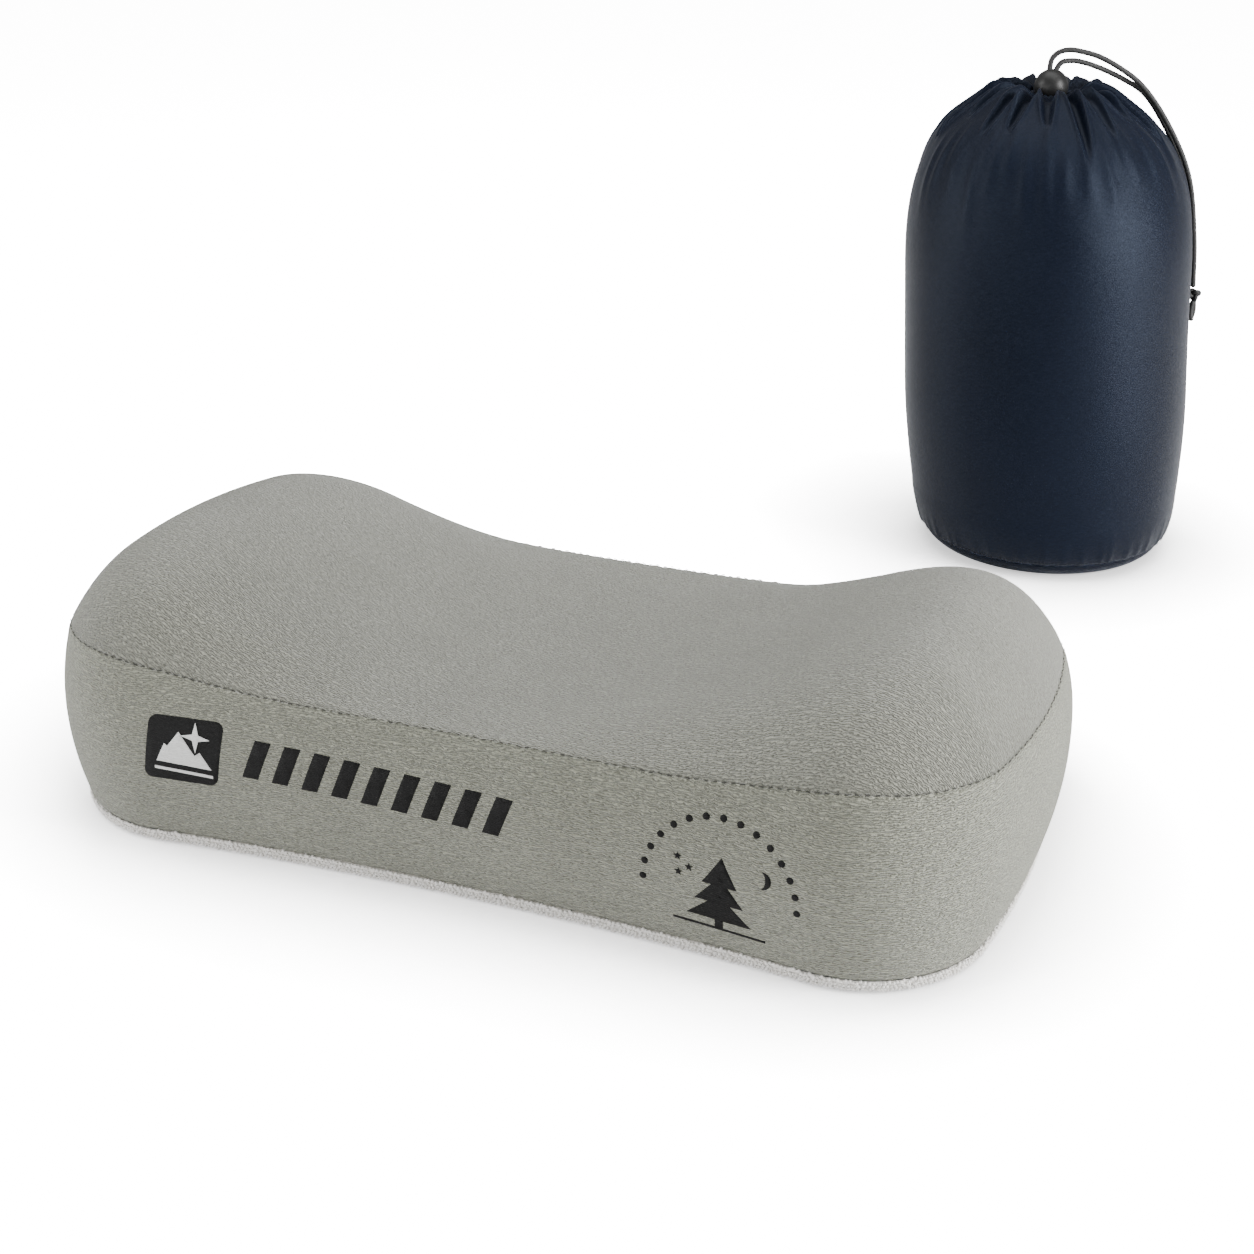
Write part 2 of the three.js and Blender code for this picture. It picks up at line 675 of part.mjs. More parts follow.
function sackBase() {
  return turned([[0, 0], [SACK_BASE_RADIUS, 0], [SACK_BASE_RADIUS, SACK_FLOOR], [0, SACK_FLOOR]], 36);
}

// What keeps the sack full: it lies against the fabric all over, up to the slack under the neck.
function packedRoll() {
  const outline = sackHeights().map((h) => [sackRadius(h), h]);
  const inner = movedIn(outline, SACK_FABRIC + CLEARANCE).filter(([, h]) => h <= PACK_HEIGHT);
  const [[lowRadius]] = inner;
  const [, top] = inner[inner.length - 1];
  const low = SACK_FLOOR + CLEARANCE;
  return turned([[0, low], [lowRadius, low], ...inner.slice(1), [0, top]], 36);
}

// The hem channel round the drawcord, open by a slit on its inner side.
function sackHem() {
  const slit = THREE.MathUtils.degToRad(HEM_SLIT / 2);
  const points = [];
  const steps = 7;
  const sweep = (radius, from, to) => {
    for (let k = 0; k <= steps; k += 1) {
      const angle = from + ((to - from) * k) / steps;
      points.push([HEM_RADIUS + radius * Math.cos(angle), HEM_LEVEL + radius * Math.sin(angle)]);
    }
  };
  sweep(HEM_SECTION, -Math.PI + slit, Math.PI - slit);
  sweep(HEM_SECTION - HEM_WALL, Math.PI - slit, -Math.PI + slit);
  return turned([...points, points[0]], 20);
}

function drawcordRing() {
  const points = [];
  for (let k = 0; k <= 8; k += 1) {
    const angle = (Math.PI * 2 * k) / 8;
    const radius = CORD_DIAMETER / 2;
    points.push([HEM_RADIUS + radius * Math.cos(angle), HEM_LEVEL + radius * Math.sin(angle)]);
  }
  return turned(points, 20);
}

// The ball sits on the hem. Its centre is where the two just clear each other.
const BALL_LEVEL = HEM_LEVEL
  + Math.sqrt((BALL_RADIUS + HEM_SECTION + CLEARANCE) ** 2 - HEM_RADIUS ** 2);
const BALL_X = SACK_X + SACK_LEAN_X * BALL_LEVEL;
const BALL_Y = SACK_Y + SACK_LEAN_Y * BALL_LEVEL;

// Ball cord lock. The cords pass up through it side by side along X, and the button slides along Y.

const HOLE_HALF_X = CORD_SPREAD / 2 + CORD_DIAMETER / 2 + CLEARANCE;
const HOLE_HALF_Y = CORD_DIAMETER / 2 + CLEARANCE;

function buttonCylinder(radius, from, to) {
  const made = new THREE.CylinderGeometry(radius, radius, to - from, 20);
  return made.translate(0, (from + to) / 2, BUTTON_RISE);
}

function cordLockBody() {
  const ball = new THREE.SphereGeometry(BALL_RADIUS, 20, 12);
  const cordHole = box(
    -HOLE_HALF_X, HOLE_HALF_X, -HOLE_HALF_Y, HOLE_HALF_Y, -BALL_RADIUS - 1, BALL_RADIUS + 1,
  );
  const bore = buttonCylinder(BUTTON_RADIUS + CLEARANCE, -BUTTON_BORE, BALL_RADIUS + 1);
  return cut(ball, cordHole, bore);
}

// At rest its cross hole lies outwards of the ball's by the travel, so that it pinches the cords.
function cordLockButton() {
  const shank = buttonCylinder(BUTTON_RADIUS, SPRING_ROOM - BUTTON_BORE, BALL_RADIUS + BUTTON_PROUD);
  const crossHole = box(
    -HOLE_HALF_X, HOLE_HALF_X, -HOLE_HALF_Y, HOLE_HALF_Y + BUTTON_TRAVEL,
    -BALL_RADIUS, BALL_RADIUS,
  );
  return cut(shank, crossHole);
}

function cordLockSpring() {
  const wire = SPRING_WIRE / 2;
  const from = -BUTTON_BORE + CLEARANCE + wire;
  const to = SPRING_ROOM - BUTTON_BORE - CLEARANCE - wire;
  const points = [];
  const steps = Math.round(SPRING_TURNS * 12);
  for (let k = 0; k <= steps; k += 1) {
    const angle = (Math.PI * 2 * k) / 12;
    points.push(new THREE.Vector3(
      SPRING_RADIUS * Math.cos(angle),
      from + ((to - from) * k) / steps,
      BUTTON_RISE + SPRING_RADIUS * Math.sin(angle),
    ));
  }
  return tube(points, SPRING_WIRE, steps, 5);
}

// A round tube through chosen points.
function tube(points, diameter, steps, sides) {
  const section = new THREE.Shape();
  for (let k = 0; k < sides; k += 1) {
    const angle = (Math.PI * 2 * k) / sides;
    const place = [Math.cos(angle) * diameter / 2, Math.sin(angle) * diameter / 2];
    if (k === 0) section.moveTo(...place);
    else section.lineTo(...place);
  }
  section.closePath();
  const extrudePath = new THREE.CatmullRomCurve3(points, false, 'centripetal');
  return new THREE.ExtrudeGeometry(section, { steps, extrudePath, bevelEnabled: false });
}

// Drawcord tails: up through the ball, over the sack's shoulder and down its right side.
const CORD_LEFT = BALL_X - CORD_SPREAD / 2;
const CORD_RIGHT = BALL_X + CORD_SPREAD / 2;
const LONG_TAIL = [
  [CORD_LEFT, BALL_Y, BALL_LEVEL - BALL_RADIUS],
  [CORD_LEFT, BALL_Y, BALL_LEVEL],
  [CORD_LEFT, BALL_Y, BALL_LEVEL + BALL_RADIUS],
  [130.5, 385.8, 285],
  [133.5, 386.6, 288.3],
  [139, 388.4, 289.9],
  [146, 390.6, 289],
  [155, 393.6, 286.4],
  [167, 397.5, 280],
  [178.5, 401.5, 271.3],
  [193, 407, 252.5],
  [208.4, 413.1, 222],
  [215.6, 416.1, 186],
  [218.3, 418.5, 155.5],
];
const SHORT_TAIL = [
  [CORD_RIGHT, BALL_Y, BALL_LEVEL - BALL_RADIUS],
  [CORD_RIGHT, BALL_Y, BALL_LEVEL],
  [CORD_RIGHT, BALL_Y, BALL_LEVEL + BALL_RADIUS - 1.5],
  [135.6, 386.8, 283],
  [141, 389.6, 284],
  [147, 392.2, 283],
  [156, 396.2, 279.8],
  [168, 401.2, 274],
  [179.5, 406, 266.5],
  [192, 411.5, 249],
  [207.3, 418.3, 218],
  [214, 421, 184],
  [218, 422, 155.5],
];
const KNOT = new THREE.Vector3(219.1, 420.5, 151);

const vectors = (points) => points.map((p) => new THREE.Vector3(...p));

function cordKnot() {
  return new THREE.SphereGeometry(KNOT_RADIUS, 12, 8);
}

function cordEnd() {
  const end = new THREE.CylinderGeometry(CORD_DIAMETER / 2, CORD_DIAMETER / 2, CORD_END, 8);
  return end.rotateX(Math.PI / 2);
}

function knotAndEnds() {
  const knot = part('drawcord_knot', cordKnot(), CORD);
  const drop = KNOT_RADIUS + CLEARANCE + CORD_END / 2;
  const ends = [-1, 1].map((side) => {
    const end = part(side < 0 ? 'drawcord_end_front' : 'drawcord_end_back', cordEnd(), CORD);
    end.position.set(0, side * (CORD_DIAMETER / 2 + CLEARANCE), -drop);
    return end;
  });
  const made = group(knot, ...ends);
  made.position.copy(KNOT);
  return made;
}

function sack() {
  const leaned = [
    part('sack_body', sackBody(), SACK_NYLON),
    part('sack_base', sackBase(), SACK_NYLON),
    part('sack_hem', sackHem(), SACK_NYLON),
    part('packed_roll', packedRoll(), COVER_FABRIC),
    part('drawcord_ring', drawcordRing(), CORD),
  ];
  leaned.forEach((mesh) => mesh.geometry.applyMatrix4(lean));
  const made = group(...leaned);
  made.position.set(SACK_X, SACK_Y, 0);
  return made;
}

function cordLock() {
  const made = group(
    part('cord_lock_body', cordLockBody(), LOCK_PLASTIC),
    part('cord_lock_button', cordLockButton(), LOCK_PLASTIC),
    part('cord_lock_spring', cordLockSpring(), SPRING_STEEL),
  );
  made.position.set(BALL_X, BALL_Y, BALL_LEVEL);
  return made;
}

const campPillow = group(
  part('cover_top_panel', coverTopPanel(), COVER_FABRIC),
  part('cover_side_band', coverSideBand(), COVER_FABRIC),
  part('cover_base_panel', coverBasePanel(), BASE_FABRIC),
  part('air_bladder', airBladder(), BLADDER_FILM),
  part('foam_core', foamCore(), FOAM),
  valve(),
  zip(),
  sack(),
  cordLock(),
  part('drawcord_tail_long', tube(vectors(LONG_TAIL), CORD_DIAMETER, 48, 8), CORD),
  part('drawcord_tail_short', tube(vectors(SHORT_TAIL), CORD_DIAMETER, 46, 8), CORD),
  knotAndEnds(),
);
campPillow.name = 'camp_pillow';

export default campPillow;
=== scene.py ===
"""Camp pillow with its stuff sack: cloth, seams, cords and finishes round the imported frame.

Metres, +Z up. The pillow's front wall looks to -Y, its zip and valve are at +Y, and the sack stands behind.
"""

import math

import bmesh
import bpy
import numpy as np
from mathutils import Matrix, Vector
from mathutils.kdtree import KDTree


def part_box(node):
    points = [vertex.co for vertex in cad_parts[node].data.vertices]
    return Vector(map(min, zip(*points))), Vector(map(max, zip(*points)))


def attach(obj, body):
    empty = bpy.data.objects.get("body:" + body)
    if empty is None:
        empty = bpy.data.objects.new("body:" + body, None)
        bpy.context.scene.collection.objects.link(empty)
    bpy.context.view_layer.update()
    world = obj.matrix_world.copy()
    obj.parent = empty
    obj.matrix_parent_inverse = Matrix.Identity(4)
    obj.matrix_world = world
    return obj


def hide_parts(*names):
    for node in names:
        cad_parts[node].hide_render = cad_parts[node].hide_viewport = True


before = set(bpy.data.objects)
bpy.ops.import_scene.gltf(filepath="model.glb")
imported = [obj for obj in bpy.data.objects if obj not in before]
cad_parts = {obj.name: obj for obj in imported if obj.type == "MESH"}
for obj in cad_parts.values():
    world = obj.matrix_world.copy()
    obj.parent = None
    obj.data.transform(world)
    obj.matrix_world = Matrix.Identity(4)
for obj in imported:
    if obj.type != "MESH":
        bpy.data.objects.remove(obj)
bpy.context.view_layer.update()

MM = 0.001
TAU = 2 * math.pi


# Camera.

CAMERA_PLACE = Vector((0.3213, -0.7481, 0.4552))
CAMERA_TURN = math.radians(21.43)
CAMERA_DOWN = math.radians(24.74)
CAMERA_LENS = 56.38


def add_camera():
    data = bpy.data.cameras.new("camera")
    data.lens = CAMERA_LENS
    data.clip_end = 20
    camera = bpy.data.objects.new("camera", data)
    bpy.context.scene.collection.objects.link(camera)
    camera.location = CAMERA_PLACE
    camera.rotation_euler = (math.pi / 2 - CAMERA_DOWN, 0, CAMERA_TURN)
    bpy.context.scene.camera = camera


add_camera()


# Cords. The tails run through the same points as the CAD ones, from the lock up and over to the knot.

CORD_DIAMETER = 0.003
CORD_STEP = 0.5 * MM
LONG_TAIL = [
    (0.12969, 0.38552, 0.2606), (0.12969, 0.38552, 0.2701), (0.12969, 0.38552, 0.2796),
    (0.1305, 0.3858, 0.285), (0.1335, 0.3866, 0.2883), (0.139, 0.3884, 0.2899),
    (0.146, 0.3906, 0.289), (0.155, 0.3936, 0.2864), (0.167, 0.3975, 0.28),
    (0.1785, 0.4015, 0.2713), (0.193, 0.407, 0.2525), (0.2084, 0.4131, 0.222),
    (0.2156, 0.4161, 0.186), (0.2183, 0.4185, 0.1555),
]
SHORT_TAIL = [
    (0.13309, 0.38552, 0.2606), (0.13309, 0.38552, 0.2701), (0.13309, 0.38552, 0.2781),
    (0.1356, 0.3868, 0.283), (0.141, 0.3896, 0.284), (0.147, 0.3922, 0.283),
    (0.156, 0.3962, 0.2798), (0.168, 0.4012, 0.274), (0.1795, 0.406, 0.2665),
    (0.192, 0.4115, 0.249), (0.2073, 0.4183, 0.218), (0.214, 0.421, 0.184),
    (0.218, 0.422, 0.1555),
]


def new_piece(name, bm, smooth=True):
    """A mesh object at the origin from a bmesh, which it frees."""
    mesh = bpy.data.meshes.new(name)
    bm.to_mesh(mesh)
    bm.free()
    if smooth:
        mesh.shade_smooth()
    piece = bpy.data.objects.new(name, mesh)
    bpy.context.scene.collection.objects.link(piece)
    return piece


def laid_grid(columns, rows, place, inwards=False, cloth=None):
    """A grid whose points are laid by place, which takes shares of its width and height from 0 to 1.
    Edges that meet are merged. cloth gives each point's place on the flat cloth."""
    bm = bmesh.new()
    bm.loops.layers.uv.new("UVMap")
    bmesh.ops.create_grid(bm, x_segments=columns, y_segments=rows, size=0.5, calc_uvs=True)
    shares = np.array([v.co[:2] for v in bm.verts]) + 0.5
    for vert, point in zip(bm.verts, place(shares[:, 0], shares[:, 1])):
        vert.co = point
    if cloth:
        layer = bm.verts.layers.float_vector.new("cloth")
        for vert, point in zip(bm.verts, cloth(shares[:, 0], shares[:, 1])):
            vert[layer] = point
    bmesh.ops.remove_doubles(bm, verts=bm.verts, dist=1e-6)
    if inwards:
        bmesh.ops.reverse_faces(bm, faces=bm.faces)
    return bm


def smooth_path(points, step):
    """A centripetal Catmull-Rom curve through the points, as a polyline of about that step."""
    p = [np.array(q, float) for q in points]
    p = [2 * p[0] - p[1], *p, 2 * p[-1] - p[-2]]
    out = []
    for a, b, c, d in zip(p, p[1:], p[2:], p[3:]):
        t1 = math.sqrt(np.linalg.norm(b - a))
        t2 = t1 + math.sqrt(np.linalg.norm(c - b))
        t3 = t2 + math.sqrt(np.linalg.norm(d - c))
        count = max(2, round(np.linalg.norm(c - b) / step))
        for t in np.linspace(t1, t2, count, endpoint=False):
            ab = a + (b - a) * t / t1
            bc = b + (c - b) * (t - t1) / (t2 - t1)
            cd = c + (d - c) * (t - t2) / (t3 - t2)
            abc = ab + (bc - ab) * t / t2
            bcd = bc + (cd - bc) * (t - t1) / (t3 - t1)
            out.append(abc + (bcd - abc) * (t - t1) / (t2 - t1))
    out.append(p[-2])
    return np.array(out)


def sweep_frames(path):
    """Two directions across the path at each of its points, carried along without twist."""
    along = np.gradient(path, axis=0)
    along /= np.linalg.norm(along, axis=1)[:, None]
    side = np.cross(along[0], (0.31, 0.95, 0.1))
    sides = []
    for direction in along:
        side = side - direction * (side @ direction)
        side = side / np.linalg.norm(side)
        sides.append(side)
    sides = np.array(sides)
    return sides, np.cross(along, sides)


BRAID_PITCH = 4.2 * MM
BRAID_RELIEF = 0.16 * MM
BRAID_STRANDS = 2    # bulges in half a turn, for each of the two sets


def braided_tube(path, radius, sides=24):
    """A round braid along a path: two sets of strands cross over each other. Its ends are domed."""
    across, up = sweep_frames(path)
    gone = np.concatenate([[0], np.cumsum(np.linalg.norm(np.diff(path, axis=0), axis=1))])
    rows = len(path) - 1

    def place(u, w):
        at = np.rint(w * rows).astype(int)
        turn = TAU * u
        twist = TAU * gone[at] / BRAID_PITCH
        strands = np.maximum(
            np.abs(np.sin(BRAID_STRANDS * turn + twist)), np.abs(np.sin(BRAID_STRANDS * turn - twist)),
        )
        from_end = np.minimum(gone[at], gone[-1] - gone[at]) / radius
        dome = np.sqrt(np.clip(1 - (1 - np.minimum(from_end, 1)) ** 2, 0, 1))
        size = (radius - BRAID_RELIEF * (1 - strands)) * dome
        ring = np.cos(turn)[:, None] * across[at] + np.sin(turn)[:, None] * up[at]
        return path[at] + ring * size[:, None]

    bm = laid_grid(sides, rows, place)
    bmesh.ops.recalc_face_normals(bm, faces=bm.faces)
    return bm


def drawcord_tail(node, points):
    path = smooth_path(points, CORD_STEP)
    piece = new_piece(node + "_braid", braided_tube(path, CORD_DIAMETER / 2))
    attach(piece, "sack")
    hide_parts(node)
    return piece, path


tail_long, long_path = drawcord_tail("drawcord_tail_long", LONG_TAIL)
tail_short, short_path = drawcord_tail("drawcord_tail_short", SHORT_TAIL)


def middle(node):
    low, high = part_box(node)
    return (low + high) / 2


CORD_END_SPLAY = 0.5 * MM
CORD_END_TUCK = 1.5 * MM
KNOT_OVERLAP = 0.8
KNOT_DEPTH = 0.55
KNOT_TIGHTNESS = 0.85
KNOT_STEPS = 121
KNOT_SIDES = 16


def cord_end(node):
    """A short cut end of the cord, which hangs from the knot."""
    low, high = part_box(node)
    centre = middle(node)
    splay = CORD_END_SPLAY * math.copysign(1, centre.y - middle("drawcord_knot").y)
    points = [
        (centre.x, centre.y - splay, high.z + CORD_END_TUCK),
        (centre.x + splay, centre.y, centre.z),
        (centre.x - splay, centre.y + splay, low.z),
    ]
    braid = braided_tube(smooth_path(points, CORD_STEP), CORD_DIAMETER / 2)
    piece = new_piece(node + "_braid", braid)
    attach(piece, "sack")
    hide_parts(node)
    return piece


def cord_knot():
    """An overhand knot: the cord runs along a trefoil, drawn tight."""
    centre = np.array(middle("drawcord_knot"))
    low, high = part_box("drawcord_knot")
    reach = (high.x - low.x) / 2 - CORD_DIAMETER / 2 * KNOT_OVERLAP
    turn = np.linspace(0, TAU, KNOT_STEPS)
    loop = np.stack([
        (np.sin(turn) + 2 * np.sin(2 * turn)) / 3,
        np.sin(3 * turn) * KNOT_DEPTH,
        (np.cos(turn) - 2 * np.cos(2 * turn)) / 3,
    ], axis=1)
    braid = braided_tube(centre + reach * loop, CORD_DIAMETER / 2 * KNOT_TIGHTNESS, KNOT_SIDES)
    piece = new_piece("drawcord_knot_braid", braid)
    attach(piece, "sack")
    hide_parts("drawcord_knot")
    return piece


knot = cord_knot()
cord_ends = [cord_end("drawcord_end_front"), cord_end("drawcord_end_back")]


# The pillow's skin. Its place round the outline is u, from 0 to 1, anticlockwise from the right end.
# Its place down the skin is t: 0 the spine, 1 the seam, 2 the foot of the wall, 3 the base's edge and
# 4 its middle.

band_low, band_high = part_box("cover_side_band")
LENGTH = band_high.x - band_low.x
END_HALF = (band_high.y - band_low.y) / 2
WAIST_DEPTH = 7 * MM
END_RADIUS = 447 * MM
CORNER_RADIUS = 64 * MM
SEAM_END = 80.2 * MM
SEAM_END_TILT = 9.3 * MM
SEAM_MIDDLE = 72.8 * MM
SEAM_MIDDLE_TILT = 6.3 * MM
SEAM_REACH = 183.5 * MM
TILT_REACH = 100 * MM
CROWN = 47.2 * MM
CROWN_POWER = 4.8
BASE_EDGE = 6 * MM
BULGE_LEVEL = 0.517
BULGE_BELOW = 6.6 * MM
BULGE_ABOVE = 6.8 * MM

CORNER_Y = END_HALF - CORNER_RADIUS
END_CENTRE_X = LENGTH / 2 - END_RADIUS
CORNER_X = END_CENTRE_X + math.sqrt((END_RADIUS - CORNER_RADIUS) ** 2 - CORNER_Y ** 2)
WAIST_HALF = END_HALF - WAIST_DEPTH
WAIST_RADIUS = (CORNER_X ** 2 + (WAIST_HALF - CORNER_Y) ** 2 - CORNER_RADIUS ** 2) / (2 * WAIST_DEPTH)
WAIST_CENTRE_Y = WAIST_HALF + WAIST_RADIUS
END_TURN = math.atan2(CORNER_Y, CORNER_X - END_CENTRE_X)
WAIST_TURN = math.asin(CORNER_X / (WAIST_RADIUS + CORNER_RADIUS))
END_ARC = END_RADIUS * END_TURN
CORNER_ARC = CORNER_RADIUS * (math.pi / 2 + WAIST_TURN - END_TURN)
QUARTER = END_ARC + CORNER_ARC + WAIST_RADIUS * WAIST_TURN
ROUND = 4 * QUARTER
FRONT = 0.75
BACK = 0.25


def outline(u):
    """Points of the plan and their outward directions: three tangent arcs a quarter, mirrored."""
    quarter = (u % 1) * 4
    number = np.minimum(np.floor(quarter), 3)
    share = quarter - number
    share = np.where(number % 2 == 1, 1 - share, share)
    s = share * QUARTER
    end = s / END_RADIUS
    corner = END_TURN + (s - END_ARC) / CORNER_RADIUS
    waist = (QUARTER - s) / WAIST_RADIUS
    cases = [s < END_ARC, s < END_ARC + CORNER_ARC]
    out_x = np.select(cases, [np.cos(end), np.cos(corner)], -np.sin(waist))
    out_y = np.select(cases, [np.sin(end), np.sin(corner)], np.cos(waist))
    x = np.select(
        cases, [END_CENTRE_X + END_RADIUS * out_x, CORNER_X + CORNER_RADIUS * out_x],
        WAIST_RADIUS * np.sin(waist),
    )
    y = np.select(
        cases, [END_RADIUS * out_y, CORNER_Y + CORNER_RADIUS * out_y],
        WAIST_CENTRE_Y - WAIST_RADIUS * out_y,
    )
    sign_x = np.where((number == 1) | (number == 2), -1, 1)
    sign_y = np.where(number >= 2, -1, 1)
    return x * sign_x, y * sign_y, out_x * sign_x, out_y * sign_y


def end_share(x, reach):
    return 0.5 - 0.5 * np.cos(np.pi * np.minimum(1, np.abs(x) / reach))


def seam_height(x, y):
    tilt = np.clip(y / TILT_REACH, -1, 1)
    low = SEAM_MIDDLE - SEAM_MIDDLE_TILT * tilt
    high = SEAM_END - SEAM_END_TILT * tilt
    return low + (high - low) * end_share(x, SEAM_REACH) ** 3


def plain_skin(u, t):
    x, y, out_x, out_y = outline(u)
    along = np.clip(t, 0, 1)
    level = np.clip(2 - t, 0, 1)
    turn = np.clip(t - 2, 0, 1) * np.pi / 2
    base = np.clip(4 - t, 0, 1)
    below = ((BULGE_LEVEL - level) / BULGE_LEVEL) ** 2 * BULGE_BELOW
    above = ((level - BULGE_LEVEL) / (1 - BULGE_LEVEL)) ** 2 * BULGE_ABOVE
    inset = np.where(level < BULGE_LEVEL, below, above) + BASE_EDGE * (1 - np.cos(turn))
    share = np.where(t > 1, base, along)
    spread_x = 0.5 + 0.5 * share
    at_x = (x - inset * out_x) * spread_x
    at_y = (y - inset * out_y) * share
    seam = seam_height(x * spread_x, y * share)
    crown = CROWN * end_share(x * spread_x, LENGTH / 2) * (1 - along ** CROWN_POWER)
    wall = BASE_EDGE * (1 - np.sin(turn)) + (seam - BASE_EDGE) * level
    return np.stack([at_x, at_y, np.where(t > 1, wall, seam + crown)], axis=1)


SKIN_STEP = 2e-3


def outward(surface, u, t):
    """Unit directions out of a surface, by small steps along it."""
    step = SKIN_STEP
    low, high = np.maximum(t - step, 0), np.minimum(t + step, 4)
    round_it = surface(u + step / 4, t) - surface(u - step / 4, t)
    down = surface(u, high) - surface(u, low)
    out = np.cross(down, round_it)
    size = np.linalg.norm(out, axis=1)
    poles = np.where(t < 2, 1.0, -1.0)
    flat = np.stack([0 * u, 0 * u, poles], axis=1)
    return np.where(size[:, None] > 1e-12, out / np.maximum(size, 1e-12)[:, None], flat)


# The cushion swells under its own air: a cloth simulation on an even mesh. The foam inside holds
# its shape, so the swelling is eased down to a small cap.

SWELL_COLUMNS = 176
SWELL_ROWS = 48
SWELL_CAP = 1 * MM
SWELL_FRAMES = 20
SWELL_PRESSURE = 4
SWELL_SMOOTHINGS = 3
SWELL_ROWS_AT_T = (0, 17, 29, 32, SWELL_ROWS)
SWELL_ROW_T = np.interp(np.arange(SWELL_ROWS + 1), SWELL_ROWS_AT_T, range(5))
SWELL_END_T = 2.6
SWELL_FADE = 0.6


def swollen_field():
    """How far the simulated skin lies from the plain one, on the grid of rows and columns."""

    def place(u, w):
        return plain_skin(u, SWELL_ROW_T[np.rint(w * SWELL_ROWS).astype(int)])

    bm = laid_grid(SWELL_COLUMNS, SWELL_ROWS, place)
    bmesh.ops.remove_doubles(bm, verts=bm.verts, dist=1e-5)
    bmesh.ops.recalc_face_normals(bm, faces=bm.faces)
    cushion = new_piece("swelling_cushion", bm)
    start = np.array([v.co for v in cushion.data.vertices])
    cloth = cushion.modifiers.new("swell", "CLOTH")
    cloth.settings.use_pressure = True
    cloth.settings.uniform_pressure_force = SWELL_PRESSURE
    cloth.settings.effector_weights.gravity = 0
    cloth.settings.tension_stiffness = 20
    cloth.settings.compression_stiffness = 20
    cloth.settings.bending_stiffness = 2
    for number in range(1, SWELL_FRAMES + 1):
        bpy.context.scene.frame_set(number)
    swollen = cushion.evaluated_get(bpy.context.evaluated_depsgraph_get()).to_mesh()
    moved = np.array([v.co for v in swollen.vertices]) - start
    bpy.context.scene.frame_set(1)
    bpy.data.objects.remove(cushion)
    far = np.linalg.norm(moved, axis=1)
    moved *= (SWELL_CAP / (far + SWELL_CAP))[:, None]
    tree = KDTree(len(start))
    for index, point in enumerate(start):
        tree.insert(point, index)
    tree.balance()
    grid_u, grid_w = np.meshgrid(
        np.arange(SWELL_COLUMNS) / SWELL_COLUMNS, np.arange(SWELL_ROWS + 1) / SWELL_ROWS,
    )
    nearest = [tree.find(point)[1] for point in place(grid_u.ravel(), grid_w.ravel())]
    field = moved[nearest].reshape(SWELL_ROWS + 1, SWELL_COLUMNS, 3)
    for _ in range(SWELL_SMOOTHINGS):
        field = (np.roll(field, 1, axis=1) + 2 * field + np.roll(field, -1, axis=1)) / 4
        field[1:-1] = (field[:-2] + 2 * field[1:-1] + field[2:]) / 4
    return field


swell = swollen_field()


def skin(u, t):
    """The cushion's outside. The base stays flat on the ground."""
    points = plain_skin(u, t)
    if swell is None:
        return points
    row = np.interp(t, SWELL_ROW_T, np.arange(SWELL_ROWS + 1))
    column = (u % 1) * SWELL_COLUMNS
    row_0 = np.minimum(row.astype(int), SWELL_ROWS - 1)
    column_0 = column.astype(int) % SWELL_COLUMNS
    column_1 = (column_0 + 1) % SWELL_COLUMNS
    down = (row - row_0)[:, None]
    across = (column - column.astype(int))[:, None]
    upper = swell[row_0, column_0] * (1 - across) + swell[row_0, column_1] * across
    lower = swell[row_0 + 1, column_0] * (1 - across) + swell[row_0 + 1, column_1] * across
    free = np.clip((SWELL_END_T - t) / SWELL_FADE, 0, 1)[:, None]
    return points + (upper * (1 - down) + lower * down) * free


def wall_t(u, height):
    """The place down the skin of a height on the wall."""
    x, y, _, _ = outline(u)
    return 2 - (height - BASE_EDGE) / (seam_height(x, y) - BASE_EDGE)


# The cover's panels: the top, the side band and the fleecy base. Their edges dip into the seam.

COVER = 1.5 * MM
PANEL_COLUMNS = 400
TOP_ROWS = 44
BAND_ROWS = 44
BASE_ROWS = 26
SEAM_DIP = 0.6 * MM
SEAM_DIP_WIDTH = 1.3 * MM
FOOT_DIP = 0.8    # times SEAM_DIP
SEAM_PUCKER = 0.25 * MM
PUCKER_REACH = 4 * MM
PUCKERS = 150
PUCKER_DRIFTS = 7
CROWN_SPAN = 118 * MM
WALL_SPAN = 76 * MM


def seam_dip(u, t):
    """How deep the skin lies under its own line beside the two seams."""
    away = np.where(t < 1, (1 - t) * CROWN_SPAN, (t - 1) * WALL_SPAN)
    foot = np.abs(t - 2) * WALL_SPAN
    drift = 2 * np.sin(TAU * PUCKER_DRIFTS * u)
    pull = SEAM_PUCKER * np.sin(TAU * PUCKERS * u + drift) * np.exp(-away / PUCKER_REACH)
    at_seam = np.exp(-(away / SEAM_DIP_WIDTH) ** 2)
    at_foot = np.exp(-(foot / SEAM_DIP_WIDTH) ** 2)
    return SEAM_DIP * (at_seam + FOOT_DIP * at_foot) - pull


def dressed_skin(u, t):
    points = skin(u, t) - seam_dip(u, t)[:, None] * outward(plain_skin, u, t)
    points[:, 2] = np.maximum(points[:, 2], 0)
    return points


def seamwards(w):
    """Rows that crowd towards the seam at w = 1."""
    return 1 - (0.3 * (1 - w) + 0.7 * (1 - w) ** 2.4)


def thicken(piece, depth):
    shell = piece.modifiers.new("thickness", "SOLIDIFY")
    shell.thickness = depth
    shell.offset = -1


def apply_modifiers(piece):
    """Replaces a piece's mesh by what its modifiers make of it."""
    made = bpy.data.meshes.new_from_object(piece.evaluated_get(bpy.context.evaluated_depsgraph_get()))
    piece.modifiers.clear()
    piece.data = made
    made.name = piece.name


